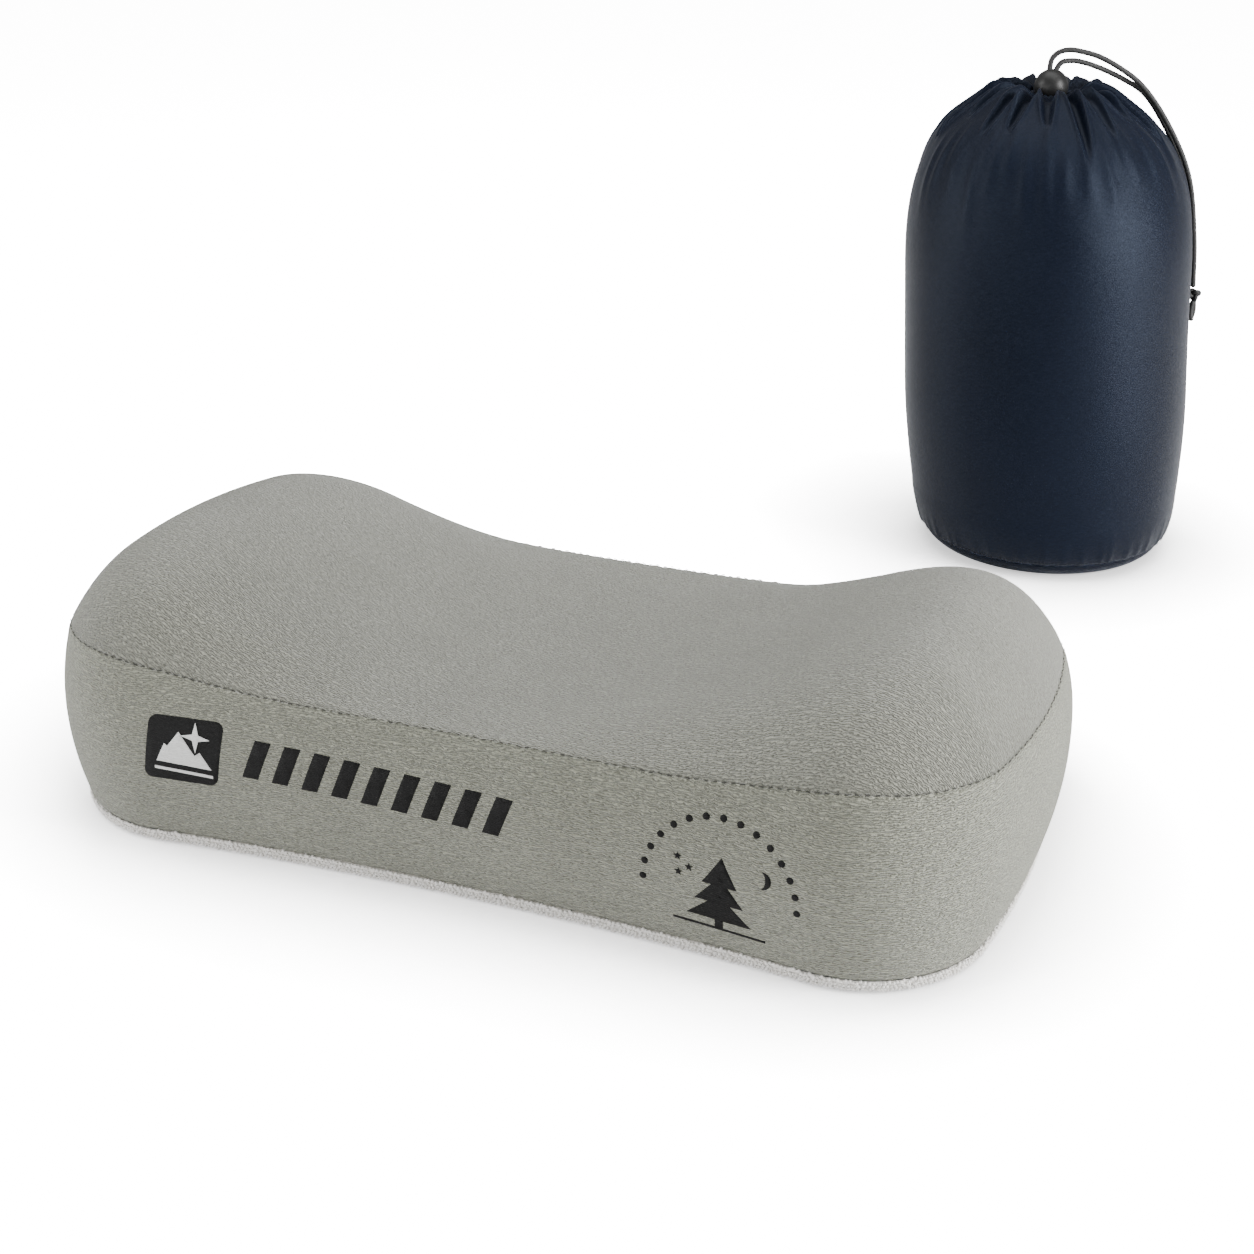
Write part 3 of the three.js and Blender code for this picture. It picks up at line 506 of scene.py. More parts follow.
def carve(piece, *cutters):
    """Cuts other pieces out of a piece, and removes them."""
    for cutter in cutters:
        hole = piece.modifiers.new("hole", "BOOLEAN")
        hole.operation = "DIFFERENCE"
        hole.solver = "EXACT"
        hole.object = cutter
    apply_modifiers(piece)
    for cutter in cutters:
        bpy.data.objects.remove(cutter)


CLOTH_STEPS = 16


def flat_on_top(u, w):
    """The top panel's points on its cloth laid flat: as far from the spine as they lie along the crown."""
    t = seamwards(w)
    path = np.array([plain_skin(u, t * share) for share in np.linspace(0, 1, CLOTH_STEPS + 1)])
    far = np.linalg.norm(np.diff(path, axis=0), axis=2).sum(axis=0)
    way = (plain_skin(u, 0 * t + 1) - path[0])[:, :2]
    flat = path[0][:, :2] + way * (far / np.linalg.norm(way, axis=1))[:, None]
    return np.column_stack([flat, 0 * u])


def top_panel():
    def place(u, w):
        return dressed_skin(u, seamwards(w))

    bm = laid_grid(PANEL_COLUMNS, TOP_ROWS, place, inwards=True, cloth=flat_on_top)
    piece = new_piece("pillow_top_panel", bm)
    thicken(piece, COVER)
    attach(piece, "pillow")
    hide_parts("cover_top_panel")
    return piece


ZIP_GAP = 0.3 * MM
ZIP_CUT_PAST = 8 * MM
NECK_HOLE = 12.8 * MM
NECK_HOLE_DEPTH = 30 * MM
ROUND_SIDES = 64


def turn_at_back(x):
    return math.asin(x / WAIST_RADIUS)


def box_piece(name, low, high):
    bm = bmesh.new()
    bmesh.ops.create_cube(bm, size=1)
    size = Vector(high) - Vector(low)
    bmesh.ops.scale(bm, vec=size, verts=bm.verts)
    bmesh.ops.translate(bm, vec=(Vector(high) + Vector(low)) / 2, verts=bm.verts)
    return new_piece(name, bm, smooth=False)


def side_band():
    def place(u, w):
        half = np.abs(2 * w - 1)
        eased = 1 - (0.55 * (1 - half) + 0.45 * (1 - half) ** 2)
        return dressed_skin(u, 1.5 + 0.5 * eased * np.sign(w - 0.5))

    piece = new_piece("pillow_side_band", laid_grid(PANEL_COLUMNS, BAND_ROWS, place, inwards=True))
    thicken(piece, COVER)
    zip_low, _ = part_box("zip_tape_lower")
    upper_low, zip_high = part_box("zip_tape_upper")
    tape_low = Vector((min(zip_low.x, upper_low.x), zip_low.y, zip_low.z))
    slot = box_piece(
        "zip_slot", (tape_low.x - ZIP_GAP, WAIST_HALF - ZIP_CUT_PAST, tape_low.z - ZIP_GAP),
        (zip_high.x + ZIP_GAP, END_HALF + ZIP_CUT_PAST, zip_high.z + ZIP_GAP),
    )
    place_of_valve = middle("valve_body")
    bm = bmesh.new()
    bmesh.ops.create_cone(
        bm, cap_ends=True, segments=ROUND_SIDES, radius1=NECK_HOLE, radius2=NECK_HOLE,
        depth=NECK_HOLE_DEPTH,
    )
    turn = turn_at_back(place_of_valve.x)
    bmesh.ops.rotate(bm, cent=(0, 0, 0), matrix=Matrix.Rotation(math.pi / 2, 3, "X"), verts=bm.verts)
    bmesh.ops.rotate(bm, cent=(0, 0, 0), matrix=Matrix.Rotation(turn, 3, "Z"), verts=bm.verts)
    bmesh.ops.translate(bm, vec=place_of_valve, verts=bm.verts)
    carve(piece, slot, new_piece("valve_hole", bm, smooth=False))
    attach(piece, "pillow")
    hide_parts("cover_side_band")
    return piece


BASE_START = 0.02    # how far below the foot of the wall the base begins, in t


def base_panel():
    def place(u, w):
        t = 2 + BASE_START + (2 - BASE_START) * (0.45 * w + 0.55 * w ** 2.5)
        return dressed_skin(u, t)

    piece = new_piece("pillow_base_panel", laid_grid(PANEL_COLUMNS, BASE_ROWS, place, inwards=True))
    thicken(piece, COVER)
    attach(piece, "pillow")
    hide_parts("cover_base_panel")
    return piece


def repeated(name, template, places):
    """One mesh that holds the template at each of the places, which are 4 by 4 matrices."""
    template.verts.index_update()
    corners = np.array([v.co for v in template.verts])
    faces = [[v.index for v in f.verts] for f in template.faces]
    template.free()
    points = np.concatenate([corners @ m[:3, :3].T + m[:3, 3] for m in places])
    count = len(corners)
    all_faces = [[i + k * count for i in f] for k in range(len(places)) for f in faces]
    mesh = bpy.data.meshes.new(name)
    mesh.from_pydata(points.tolist(), [], all_faces)
    mesh.shade_smooth()
    piece = bpy.data.objects.new(name, mesh)
    bpy.context.scene.collection.objects.link(piece)
    return piece


def frames_at(points, along, out, size):
    """Places for a template: local X along, local Z out, scaled."""
    along = along / np.linalg.norm(along, axis=1)[:, None]
    side = np.cross(out, along)
    side /= np.linalg.norm(side, axis=1)[:, None]
    up = np.cross(along, side)
    made = np.zeros((len(points), 4, 4))
    made[:, :3, 0] = along * size[0]
    made[:, :3, 1] = side * size[1]
    made[:, :3, 2] = up * size[2]
    made[:, :3, 3] = points
    made[:, 3, 3] = 1
    return made


# Thread: each stitch is a small grain that dips into the cloth at both ends.

WANDER_STEP = 2.4


def stitches(name, points, out, pitch, body, long=0.62, thick=0.42 * MM, wander=0.0):
    steps = np.linalg.norm(np.diff(points, axis=0), axis=1)
    gone = np.concatenate([[0], np.cumsum(steps)])
    count = max(2, int(gone[-1] / pitch))
    middles = (np.arange(count) + 0.5) * gone[-1] / count

    def at(values, s):
        return np.stack([np.interp(s, gone, values[:, k]) for k in range(3)], axis=1)

    half = long * pitch / 2
    direction = at(points, middles + half) - at(points, middles - half)
    outs = at(out, middles)
    direction += wander * np.cross(outs, direction) * np.sin(np.arange(count) * WANDER_STEP)[:, None]
    bm = bmesh.new()
    bmesh.ops.create_uvsphere(bm, u_segments=6, v_segments=6, radius=1)
    bmesh.ops.rotate(bm, cent=(0, 0, 0), matrix=Matrix.Rotation(math.pi / 2, 3, "Y"), verts=bm.verts)
    size = (half, thick / 2, thick / 2)
    piece = repeated(name, bm, frames_at(at(points, middles), direction, outs, size))
    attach(piece, body)
    return piece


def row_on_skin(t_of_u, u, lift):
    t = t_of_u(u)
    out = outward(plain_skin, u, t)
    return dressed_skin(u, t) + lift * out, out


SEAM_STITCH_PITCH = 3.9 * MM
SEAM_STITCH_LIFT = 0.34 * MM
ZIP_STITCH_PITCH = 2.8 * MM
ZIP_STITCH_LIFT = 0.15 * MM
ZIP_STITCH_AWAY = 2.6 * MM


def pillow_stitches():
    u = np.linspace(0, 1, 1601)
    points, out = row_on_skin(lambda v: 0 * v + 1.0, u, SEAM_STITCH_LIFT)
    return [stitches(
        "seam_stitches", points, out, SEAM_STITCH_PITCH, "pillow",
        long=0.6, thick=0.5 * MM, wander=0.2,
    )]


def zip_stitches():
    low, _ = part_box("zip_tape_lower")
    _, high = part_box("zip_tape_upper")
    ends = [low.x - ZIP_STITCH_AWAY, high.x + ZIP_STITCH_AWAY]
    made = []
    rows = {
        "zip_stitches_lower": low.z - ZIP_STITCH_AWAY, "zip_stitches_upper": high.z + ZIP_STITCH_AWAY,
    }
    for name, height in rows.items():
        x = np.linspace(*ends, 121)
        u = BACK - WAIST_RADIUS * np.arcsin(x / WAIST_RADIUS) / ROUND
        points, out = row_on_skin(lambda v: wall_t(v, height), u, ZIP_STITCH_LIFT)
        made.append(stitches(name, points, out, ZIP_STITCH_PITCH, "pillow"))
    return made


# The fleece's loops stand out along the base's rounded edge.

LOOP_SIZE = 0.78 * MM
SMALLEST_LOOP, LARGEST_LOOP = 0.72, 1.25    # times LOOP_SIZE
LOOP_PITCH = 1.75 * MM
LOOP_ROWS = 6
LOOP_FIRST_T, LOOP_LAST_T = 2.04, 2.86
LOOP_STRAY = 0.25    # of the pitch, along a row
LOOP_STRAY_T = 0.04
LOOP_STAND = 0.7    # of LOOP_SIZE, from the skin to the middle of a loop


def fleece_loops():
    random = np.random.default_rng(5)
    rows = LOOP_ROWS
    columns = int(ROUND / LOOP_PITCH)
    u = np.repeat(np.arange(columns)[None, :] / columns, rows, axis=0)
    u = u + np.arange(rows)[:, None] * 0.5 / columns
    t = np.repeat(np.linspace(LOOP_FIRST_T, LOOP_LAST_T, rows)[:, None], columns, axis=1)
    u = (u + random.uniform(-LOOP_STRAY, LOOP_STRAY, u.shape) / columns).ravel()
    t = (t + random.uniform(-LOOP_STRAY_T, LOOP_STRAY_T, t.shape)).ravel()
    out = outward(plain_skin, u, t)
    points = dressed_skin(u, t) + LOOP_STAND * LOOP_SIZE * out
    points[:, 2] = np.maximum(points[:, 2], LARGEST_LOOP * LOOP_SIZE)
    along = dressed_skin(u + 1e-4, t) - dressed_skin(u - 1e-4, t)
    places = frames_at(points, along, out, (1, 1, 1))
    sizes = LOOP_SIZE * random.uniform(SMALLEST_LOOP, LARGEST_LOOP, len(u))
    places[:, :3, :3] *= sizes[:, None, None]
    bm = bmesh.new()
    bmesh.ops.create_icosphere(bm, subdivisions=1, radius=1)
    piece = repeated("base_fleece_loops", bm, places)
    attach(piece, "pillow")
    return piece


# Prints on the front wall. They are drawn flat, in distances along the wall and up it, and laid on it.

PRINT_PROUD = 0.12 * MM
PRINT_GRAIN = 4 * MM
GRAIN_SHIFT = 0.37    # keeps the cuts off a drawing's own edges
INK_DEPTH = 0.8    # times how proud the print stands
DISC_STEPS = 24
CORNER_STEPS = 6
MOON_STEPS = 12


def flat_disc(bm, centre, radius):
    bmesh.ops.create_circle(
        bm, cap_ends=True, segments=DISC_STEPS, radius=radius,
        matrix=Matrix.Translation((centre[0], centre[1], 0)),
    )


def flat_outline(bm, points):
    bm.faces.new([bm.verts.new((x, y, 0)) for x, y in points])


def laid_print(name, bm, centre, tilt=0.0, proud=PRINT_PROUD):
    """Cuts a flat drawing into strips, turns it and lays it on the front wall."""
    reach = max(max(abs(v.co.x), abs(v.co.y)) for v in bm.verts)
    for axis in ((1, 0, 0), (0, 1, 0)):
        for k in range(int(-reach / PRINT_GRAIN), int(reach / PRINT_GRAIN) + 1):
            bmesh.ops.bisect_plane(
                bm, geom=[*bm.verts, *bm.edges, *bm.faces],
                plane_co=Vector(axis) * (k + GRAIN_SHIFT) * PRINT_GRAIN, plane_no=axis,
            )
    bmesh.ops.rotate(bm, cent=(0, 0, 0), matrix=Matrix.Rotation(tilt, 3, "Z"), verts=bm.verts)
    flat = np.array([v.co for v in bm.verts]) + (*centre, 0)
    u = FRONT + flat[:, 0] / ROUND
    t = wall_t(u, flat[:, 1])
    laid = skin(u, t) + proud * outward(plain_skin, u, t)
    for vert, point in zip(bm.verts, laid):
        vert.co = point
    piece = new_piece(name, bm)
    thicken(piece, INK_DEPTH * proud)
    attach(piece, "pillow")
    return piece


def rounded_square(width, height, corner, skew):
    points = []
    corners = [(1, 1, 0), (-1, 1, 1), (-1, -1, 2), (1, -1, 3)]
    for sign_x, sign_y, quarter in corners:
        for k in range(CORNER_STEPS + 1):
            turn = (quarter + k / CORNER_STEPS) * math.pi / 2
            x = sign_x * (width / 2 - corner) + corner * math.cos(turn)
            y = sign_y * (height / 2 - corner) + corner * math.sin(turn)
            points.append((x + skew * y / height, y))
    return points


def star(points, outer, inner):
    return [
        (math.sin(k * math.pi / points) * (inner if k % 2 else outer),
         math.cos(k * math.pi / points) * (inner if k % 2 else outer))
        for k in range(2 * points)
    ]


def crescent(radius):
    """A young moon: the outer arc, then a flatter one back inside it."""
    turns = [math.radians(110 - 220 * k / MOON_STEPS) for k in range(MOON_STEPS + 1)]
    outer = [(radius * math.cos(turn), radius * math.sin(turn)) for turn in turns]
    inner = [(radius * (0.55 * math.cos(turn) - 0.16), radius * math.sin(turn)) for turn in turns[::-1]]
    return outer + inner[1:-1]


PATCH_PLACE = (-130 * MM, 52.5 * MM)
PATCH_SIZE = (35.5 * MM, 30.5 * MM)
PATCH_CORNER = 4 * MM
PATCH_SKEW = 5 * MM
PATCH_STAR_PLACE = (6 * MM, 7 * MM)
PATCH_STAR = (4, 7, 2)
PATCH_PEAKS = (
    (-13, -7), (13.5, -7), (8, 0.5), (5.5, -1.5), (-2, 8.5), (-6, 3), (-7.5, 1), (-9, 2),
)
PATCH_FOOT = ((-14, -11), (14, -11), (14, -9.6), (-14, -9.6))
LIGHT_PRINT_PROUD = 1.8    # times PRINT_PROUD, to lie on the patch
BARS_PLACE = (-39 * MM, 50.5 * MM)
BARS_TILT = -0.046
BAR_COUNT = 9
BAR_PITCH = 14 * MM
BAR_SIZE = (7.5 * MM, 18 * MM)
BAR_SLANT = 6 * MM
EMBLEM_PLACE = (115 * MM, 36 * MM)
EMBLEM_RADIUS = 33 * MM
EMBLEM_DOTS = 15
EMBLEM_DOT = 1.5 * MM
MOON_PLACE = (18 * MM, 11 * MM)
MOON_RADIUS = 4 * MM
SMALL_STARS = ((-18, 13), (-13, 9), (-17.5, 6))
SMALL_STAR = (5, 1.9 * MM, 0.8 * MM)
TREE_TOP = 16.5 * MM
TREE_WIDTHS = (15 * MM, 21 * MM, 28 * MM)
TREE_TIER = 13 * MM
TREE_STEP = 8.6 * MM
TRUNK_HALF = 1.8 * MM
TRUNK_HEIGHT = 4 * MM
GROUND_HALF = 20 * MM
GROUND_FOOT = 5.2 * MM


def prints():
    inked = []
    bm = bmesh.new()
    flat_outline(bm, rounded_square(*PATCH_SIZE, PATCH_CORNER, PATCH_SKEW))
    inked.append(laid_print("print_patch", bm, PATCH_PLACE))
    bm = bmesh.new()
    right, up = PATCH_STAR_PLACE
    flat_outline(bm, [(x * MM + right, y * MM + up) for x, y in star(*PATCH_STAR)])
    flat_outline(bm, [(x * MM, y * MM) for x, y in PATCH_PEAKS])
    flat_outline(bm, [(x * MM, y * MM) for x, y in PATCH_FOOT])
    light_proud = PRINT_PROUD * LIGHT_PRINT_PROUD
    light = laid_print("print_patch_star", bm, PATCH_PLACE, BARS_TILT, light_proud)
    bm = bmesh.new()
    for k in range(BAR_COUNT):
        x = (k - (BAR_COUNT - 1) / 2) * BAR_PITCH
        half = BAR_SIZE[0] / 2
        rise = BAR_SIZE[1] / 2
        flat_outline(bm, [
            (x - half - BAR_SLANT / 2, -rise), (x + half - BAR_SLANT / 2, -rise),
            (x + half + BAR_SLANT / 2, rise), (x - half + BAR_SLANT / 2, rise),
        ])
    inked.append(laid_print("print_bars", bm, BARS_PLACE, BARS_TILT))
    bm = bmesh.new()
    for k in range(EMBLEM_DOTS):
        turn = math.pi * k / (EMBLEM_DOTS - 1)
        flat_disc(bm, (EMBLEM_RADIUS * math.cos(turn), EMBLEM_RADIUS * math.sin(turn)), EMBLEM_DOT)
    right, up = MOON_PLACE
    flat_outline(bm, [(x + right, y + up) for x, y in crescent(MOON_RADIUS)])
    for x, y in SMALL_STARS:
        flat_outline(bm, [(dx + x * MM, dy + y * MM) for dx, dy in star(*SMALL_STAR)])
    inked.append(laid_print("print_emblem_ring", bm, EMBLEM_PLACE))
    bm = bmesh.new()
    for tier, width in enumerate(TREE_WIDTHS):
        top = TREE_TOP - tier * TREE_STEP
        flat_outline(bm, [(-width / 2, top - TREE_TIER), (width / 2, top - TREE_TIER), (0, top)])
    trunk = TREE_TOP - 2 * TREE_STEP - TREE_TIER
    flat_outline(bm, [
        (-TRUNK_HALF, trunk - TRUNK_HEIGHT), (TRUNK_HALF, trunk - TRUNK_HEIGHT),
        (TRUNK_HALF, trunk), (-TRUNK_HALF, trunk),
    ])
    flat_outline(bm, [
        (-GROUND_HALF, trunk - GROUND_FOOT), (GROUND_HALF, trunk - GROUND_FOOT),
        (GROUND_HALF, trunk - TRUNK_HEIGHT), (-GROUND_HALF, trunk - TRUNK_HEIGHT),
    ])
    inked.append(laid_print("print_emblem_tree", bm, EMBLEM_PLACE, BARS_TILT))
    return inked, light


pillow_top = top_panel()
pillow_band = side_band()
pillow_base = base_panel()
pillow_thread = [*pillow_stitches(), *zip_stitches()]
loops = fleece_loops()
ink_prints, light_print = prints()


# Zip teeth: two rows of coil loops, half a pitch apart.

TOOTH_PITCH = 1.3 * MM
TOOTH_DEPTH = 0.35 * MM
TOOTH_FROM_MIDDLE = 0.55 * MM
TOOTH_SIZE = (0.46 * MM, 0.95 * MM, 0.72 * MM)


def zip_teeth():
    low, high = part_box("zip_coil")
    height = (low.z + high.z) / 2
    x = np.arange(low.x + TOOTH_PITCH / 2, high.x, TOOTH_PITCH / 2)
    turn = np.arcsin(x / WAIST_RADIUS)
    side = np.where(np.arange(len(x)) % 2, 1, -1)
    points = np.stack([
        (WAIST_RADIUS + TOOTH_DEPTH) * np.sin(turn),
        WAIST_CENTRE_Y - (WAIST_RADIUS + TOOTH_DEPTH) * np.cos(turn),
        height + side * TOOTH_FROM_MIDDLE,
    ], axis=1)
    along = np.stack([np.cos(turn), np.sin(turn), 0 * turn], axis=1)
    out = np.stack([-np.sin(turn), np.cos(turn), 0 * turn], axis=1)
    bm = bmesh.new()
    bmesh.ops.create_uvsphere(bm, u_segments=8, v_segments=6, radius=1)
    piece = repeated("zip_teeth", bm, frames_at(points, along, out, TOOTH_SIZE))
    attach(piece, "pillow")
    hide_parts("zip_coil")
    return piece


teeth = zip_teeth()


# Stuff sack. s runs along its side from the neck to the base seam, and the base closes it below.

base_middle = middle("sack_base")
hem_middle = middle("sack_hem")
hem_low, hem_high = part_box("sack_hem")
SACK_PLACE = np.array((base_middle.x, base_middle.y, 0))
SACK_LEAN = np.array((hem_middle.x - base_middle.x, hem_middle.y - base_middle.y)) / hem_middle.z
SACK_BELLY = 82 * MM
SACK_TOP = 266 * MM
NECK_RADIUS = 13.6 * MM
SHOULDER_FROM = 165 * MM
SHOULDER_POWER = 2.45
BELLY_FROM = 100 * MM
CORNER_RISE = 36 * MM
CORNER_REACH = 18 * MM
BASE_WIDE = 78.5 * MM
SACK_SEAM_RISE = 8 * MM
SACK_COLUMNS = 420
SACK_ROWS = 112
NYLON_DEPTH = 0.6 * MM


def side_profile():
    """The sack's outline from the neck down to the ground, as radius and height."""
    turn = np.linspace(0, np.pi / 2, 120)
    fall = np.cos(turn) ** (2 / SHOULDER_POWER)
    rise = np.sin(turn) ** (2 / SHOULDER_POWER)
    radius = NECK_RADIUS + (SACK_BELLY - NECK_RADIUS) * fall[::-1]
    height = SHOULDER_FROM + (SACK_TOP - SHOULDER_FROM) * rise[::-1]
    belly_h = np.linspace(SHOULDER_FROM, CORNER_RISE, 60)[1:]
    waist = np.clip((belly_h - CORNER_RISE) / (BELLY_FROM - CORNER_RISE), 0, 1)
    belly_r = BASE_WIDE + (SACK_BELLY - BASE_WIDE) * np.sin(waist * np.pi / 2)
    corner = np.linspace(0, np.pi / 2, 24)[1:]
    corner_r = BASE_WIDE - CORNER_REACH * (1 - np.cos(corner))
    corner_h = CORNER_RISE * (1 - np.sin(corner))
    return (
        np.concatenate([radius, belly_r, corner_r]), np.concatenate([height, belly_h, corner_h]),
    )


PROFILE_R, PROFILE_H = side_profile()
PROFILE_S = np.concatenate([[0], np.cumsum(np.hypot(np.diff(PROFILE_R), np.diff(PROFILE_H)))])
SIDE_LENGTH = float(np.interp(-SACK_SEAM_RISE, -PROFILE_H, PROFILE_S))

pleat_random = np.random.default_rng(11)
PLEATS = 18
PLEAT_TURNS = TAU * (np.arange(PLEATS) + pleat_random.uniform(-0.28, 0.28, PLEATS)) / PLEATS
PLEAT_LENGTHS = pleat_random.uniform(36, 62, PLEATS) * MM
PLEAT_DEPTHS = pleat_random.uniform(4.4, 7.0, PLEATS) * MM
PLEAT_OPENINGS = pleat_random.uniform(0.07, 0.13, PLEATS)
PLEAT_SLOPES = pleat_random.uniform(-0.09, 0.09, PLEATS)
PLEAT_FLANK = 1.3 * MM
RIDGE = 2.5 * MM
RIDGE_WIDTH = 1.1 * MM
LOBE_RISE = 5.0 * MM
LOBE_PLACE = 15 * MM
LOBE_SPREAD = 13 * MM
CREASES = 52
CREASE_RISE = 0.9 * MM
CREASE_TURNS = TAU * (np.arange(CREASES) + pleat_random.uniform(-0.4, 0.4, CREASES)) / CREASES
CREASE_STARTS = pleat_random.uniform(12, 48, CREASES) * MM
CREASE_LENGTHS = pleat_random.uniform(40, 85, CREASES) * MM
CREASE_LEANS = pleat_random.uniform(-0.06, 0.06, CREASES)
GATHERS = 46
GATHER_RISE = 1.1 * MM
GATHER_TURNS = TAU * (np.arange(GATHERS) + pleat_random.uniform(-0.4, 0.4, GATHERS)) / GATHERS
GATHER_LENGTHS = pleat_random.uniform(12, 30, GATHERS) * MM
SEAM_GROOVE = 0.7 * MM
SEAM_GROOVE_WIDTH = 1.6 * MM
LUMP_RISE = 0.45 * MM


def turned_away(turn, middle_turn):
    return (turn - middle_turn + np.pi) % TAU - np.pi


def sack_relief(turn, s):
    """How far the cloth stands out from the sack's plain outline: pleats, creases and gathers."""
    relief = np.zeros_like(turn)
    radius = np.interp(s, PROFILE_S, PROFILE_R)
    near_neck = np.exp(-((s - LOBE_PLACE) / LOBE_SPREAD) ** 2)
    relief += LOBE_RISE * near_neck
    for centre, long, deep, opening, slope in zip(
        PLEAT_TURNS, PLEAT_LENGTHS, PLEAT_DEPTHS, PLEAT_OPENINGS, PLEAT_SLOPES,
    ):
        share = np.clip(s / long, 0, 1)
        away = turned_away(turn, centre + slope * share)
        half = opening * (1 - share)
        fade = np.clip(0.45 + 2.2 * share, 0, 1) * (1 - share) ** 0.55
        width = half + PLEAT_FLANK / radius
        relief -= deep * fade * np.exp(-(np.abs(away) / width) ** 3)
        for side in (-1, 1):
            ridge = (away - side * (width + RIDGE_WIDTH / radius)) * radius / RIDGE_WIDTH
            relief += RIDGE * fade * np.exp(-ridge ** 2)
    for centre, start, long, slope in zip(CREASE_TURNS, CREASE_STARTS, CREASE_LENGTHS, CREASE_LEANS):
        share = np.clip((s - start) / long, 0, 1)
        away = turned_away(turn, centre + slope * share) * radius / (1.5 * MM + 3.5 * MM * share)
        relief += CREASE_RISE * np.sin(np.pi * share) ** 2 * np.exp(-away ** 2)
    for centre, long in zip(GATHER_TURNS, GATHER_LENGTHS):
        share = np.clip((SIDE_LENGTH - s) / long, 0, 1)
        away = turned_away(turn, centre) * radius / (1.6 * MM + 2.2 * MM * share)
        relief += GATHER_RISE * (1 - share) ** 1.3 * np.exp(-away ** 2) * (s < SIDE_LENGTH)
    relief -= SEAM_GROOVE * np.exp(-((SIDE_LENGTH - s) / SEAM_GROOVE_WIDTH) ** 2)
    lumps = (
        np.sin(2 * turn + 9 * s / SIDE_LENGTH) + np.sin(3 * turn - 7 * s / SIDE_LENGTH + 1.3)
        + 0.6 * np.sin(5 * turn + 4 * s / SIDE_LENGTH + 0.4)
    )
    stuffed = np.clip(s / (60 * MM), 0, 1) * np.clip((SIDE_LENGTH - s) / (30 * MM), 0, 1)
    return relief + LUMP_RISE * lumps * stuffed


def sack_points(turn, s, lift=0.0):
    radius = np.interp(s, PROFILE_S, PROFILE_R)
    height = np.interp(s, PROFILE_S, PROFILE_H)
    slope_r = np.interp(s + MM, PROFILE_S, PROFILE_R) - np.interp(s - MM, PROFILE_S, PROFILE_R)
    slope_h = np.interp(s + MM, PROFILE_S, PROFILE_H) - np.interp(s - MM, PROFILE_S, PROFILE_H)
    size = np.maximum(np.hypot(slope_r, slope_h), 1e-9)
    stand = sack_relief(turn, s) + lift
    radius = radius - stand * slope_h / size
    height = np.maximum(height + stand * slope_r / size, 0)
    x = SACK_PLACE[0] + SACK_LEAN[0] * height + radius * np.cos(turn)
    y = SACK_PLACE[1] + SACK_LEAN[1] * height + radius * np.sin(turn)
    return np.stack([x, y, height], axis=1)


def sack_side():
    def place(u, w):
        return sack_points(TAU * u, SIDE_LENGTH * (0.6 * w + 0.4 * w ** 2))

    piece = new_piece("sack_side", laid_grid(SACK_COLUMNS, SACK_ROWS, place, inwards=True))
    thicken(piece, NYLON_DEPTH)
    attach(piece, "sack")
    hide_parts("sack_body")
    return piece


def sack_floor():
    floor_length = PROFILE_S[-1] - SIDE_LENGTH

    def place(u, w):
        s = SIDE_LENGTH + floor_length * np.minimum(w * 2, 1)
        points = sack_points(TAU * u, s)
        inner = np.clip(2 - 2 * w, 0, 1)[:, None]
        centre = np.stack([0 * u + SACK_PLACE[0], 0 * u + SACK_PLACE[1], 0 * u], axis=1)
        return centre + (points - centre) * inner

    piece = new_piece("sack_floor", laid_grid(SACK_COLUMNS // 2, 24, place, inwards=True))
    thicken(piece, NYLON_DEPTH)
    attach(piece, "sack")
    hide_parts("sack_base")
    return piece


LOAD_SLACK = 7 * MM
LOAD_TURNS = 5
LOAD_TOP = 40 * MM    # down the sack's side from the neck
LOAD_END = 0.2    # the share of the rows on each of its flat ends


def sack_load():
    """What fills the sack: a roll a little smaller than the sack, with the edge of its winding showing."""

    def place(u, w):
        side = np.clip((w - LOAD_END) / (1 - 2 * LOAD_END), 0, 1)
        s = np.minimum(LOAD_TOP + (PROFILE_S[-1] - LOAD_TOP) * side, PROFILE_S[-1])
        radius = np.interp(s, PROFILE_S, PROFILE_R) - LOAD_SLACK
        height = np.clip(np.interp(s, PROFILE_S, PROFILE_H), 2 * MM, None)
        inner = np.clip(w / LOAD_END, 0, 1) * np.clip((1 - w) / LOAD_END, 0, 1)
        winding = np.sin(TAU * (LOAD_TURNS * inner + u)) * (w < LOAD_END) * MM
        radius = radius * inner
        return np.stack([
            SACK_PLACE[0] + SACK_LEAN[0] * height + radius * np.cos(TAU * u),
            SACK_PLACE[1] + SACK_LEAN[1] * height + radius * np.sin(TAU * u),
            height + winding,
        ], axis=1)

    piece = new_piece("packed_load", laid_grid(120, 90, place, inwards=True))
    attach(piece, "sack")
    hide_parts("packed_roll")
    return piece


HEM_RUFFLES = 22
HEM_RUFFLE_DEPTH = 0.16
HEM_SIZE = 0.92    # times the CAD channel, so that the ruffles keep to its size


def sack_neck():
    """The hem channel, drawn up in ruffles round the cord."""
    ring = (hem_high.x - hem_low.x) / 2
    tube = (hem_high.z - hem_low.z) / 2
    middle_radius = ring - tube

    def place(u, w):
        turn = TAU * u
        section = TAU * w
        ruffle = 1 + HEM_RUFFLE_DEPTH * np.sin(HEM_RUFFLES * turn + 1.5 * np.sin(3 * turn))
        size = tube * ruffle * HEM_SIZE
        radius = middle_radius + size * np.cos(section)
        height = size * np.sin(section)
        return np.stack([
            hem_middle.x + radius * np.cos(turn), hem_middle.y + radius * np.sin(turn),
            hem_middle.z + height,
        ], axis=1)

    bm = laid_grid(220, 20, place)
    bmesh.ops.recalc_face_normals(bm, faces=bm.faces)
    piece = new_piece("sack_neck_hem", bm)
    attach(piece, "sack")
    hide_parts("sack_hem")
    return piece


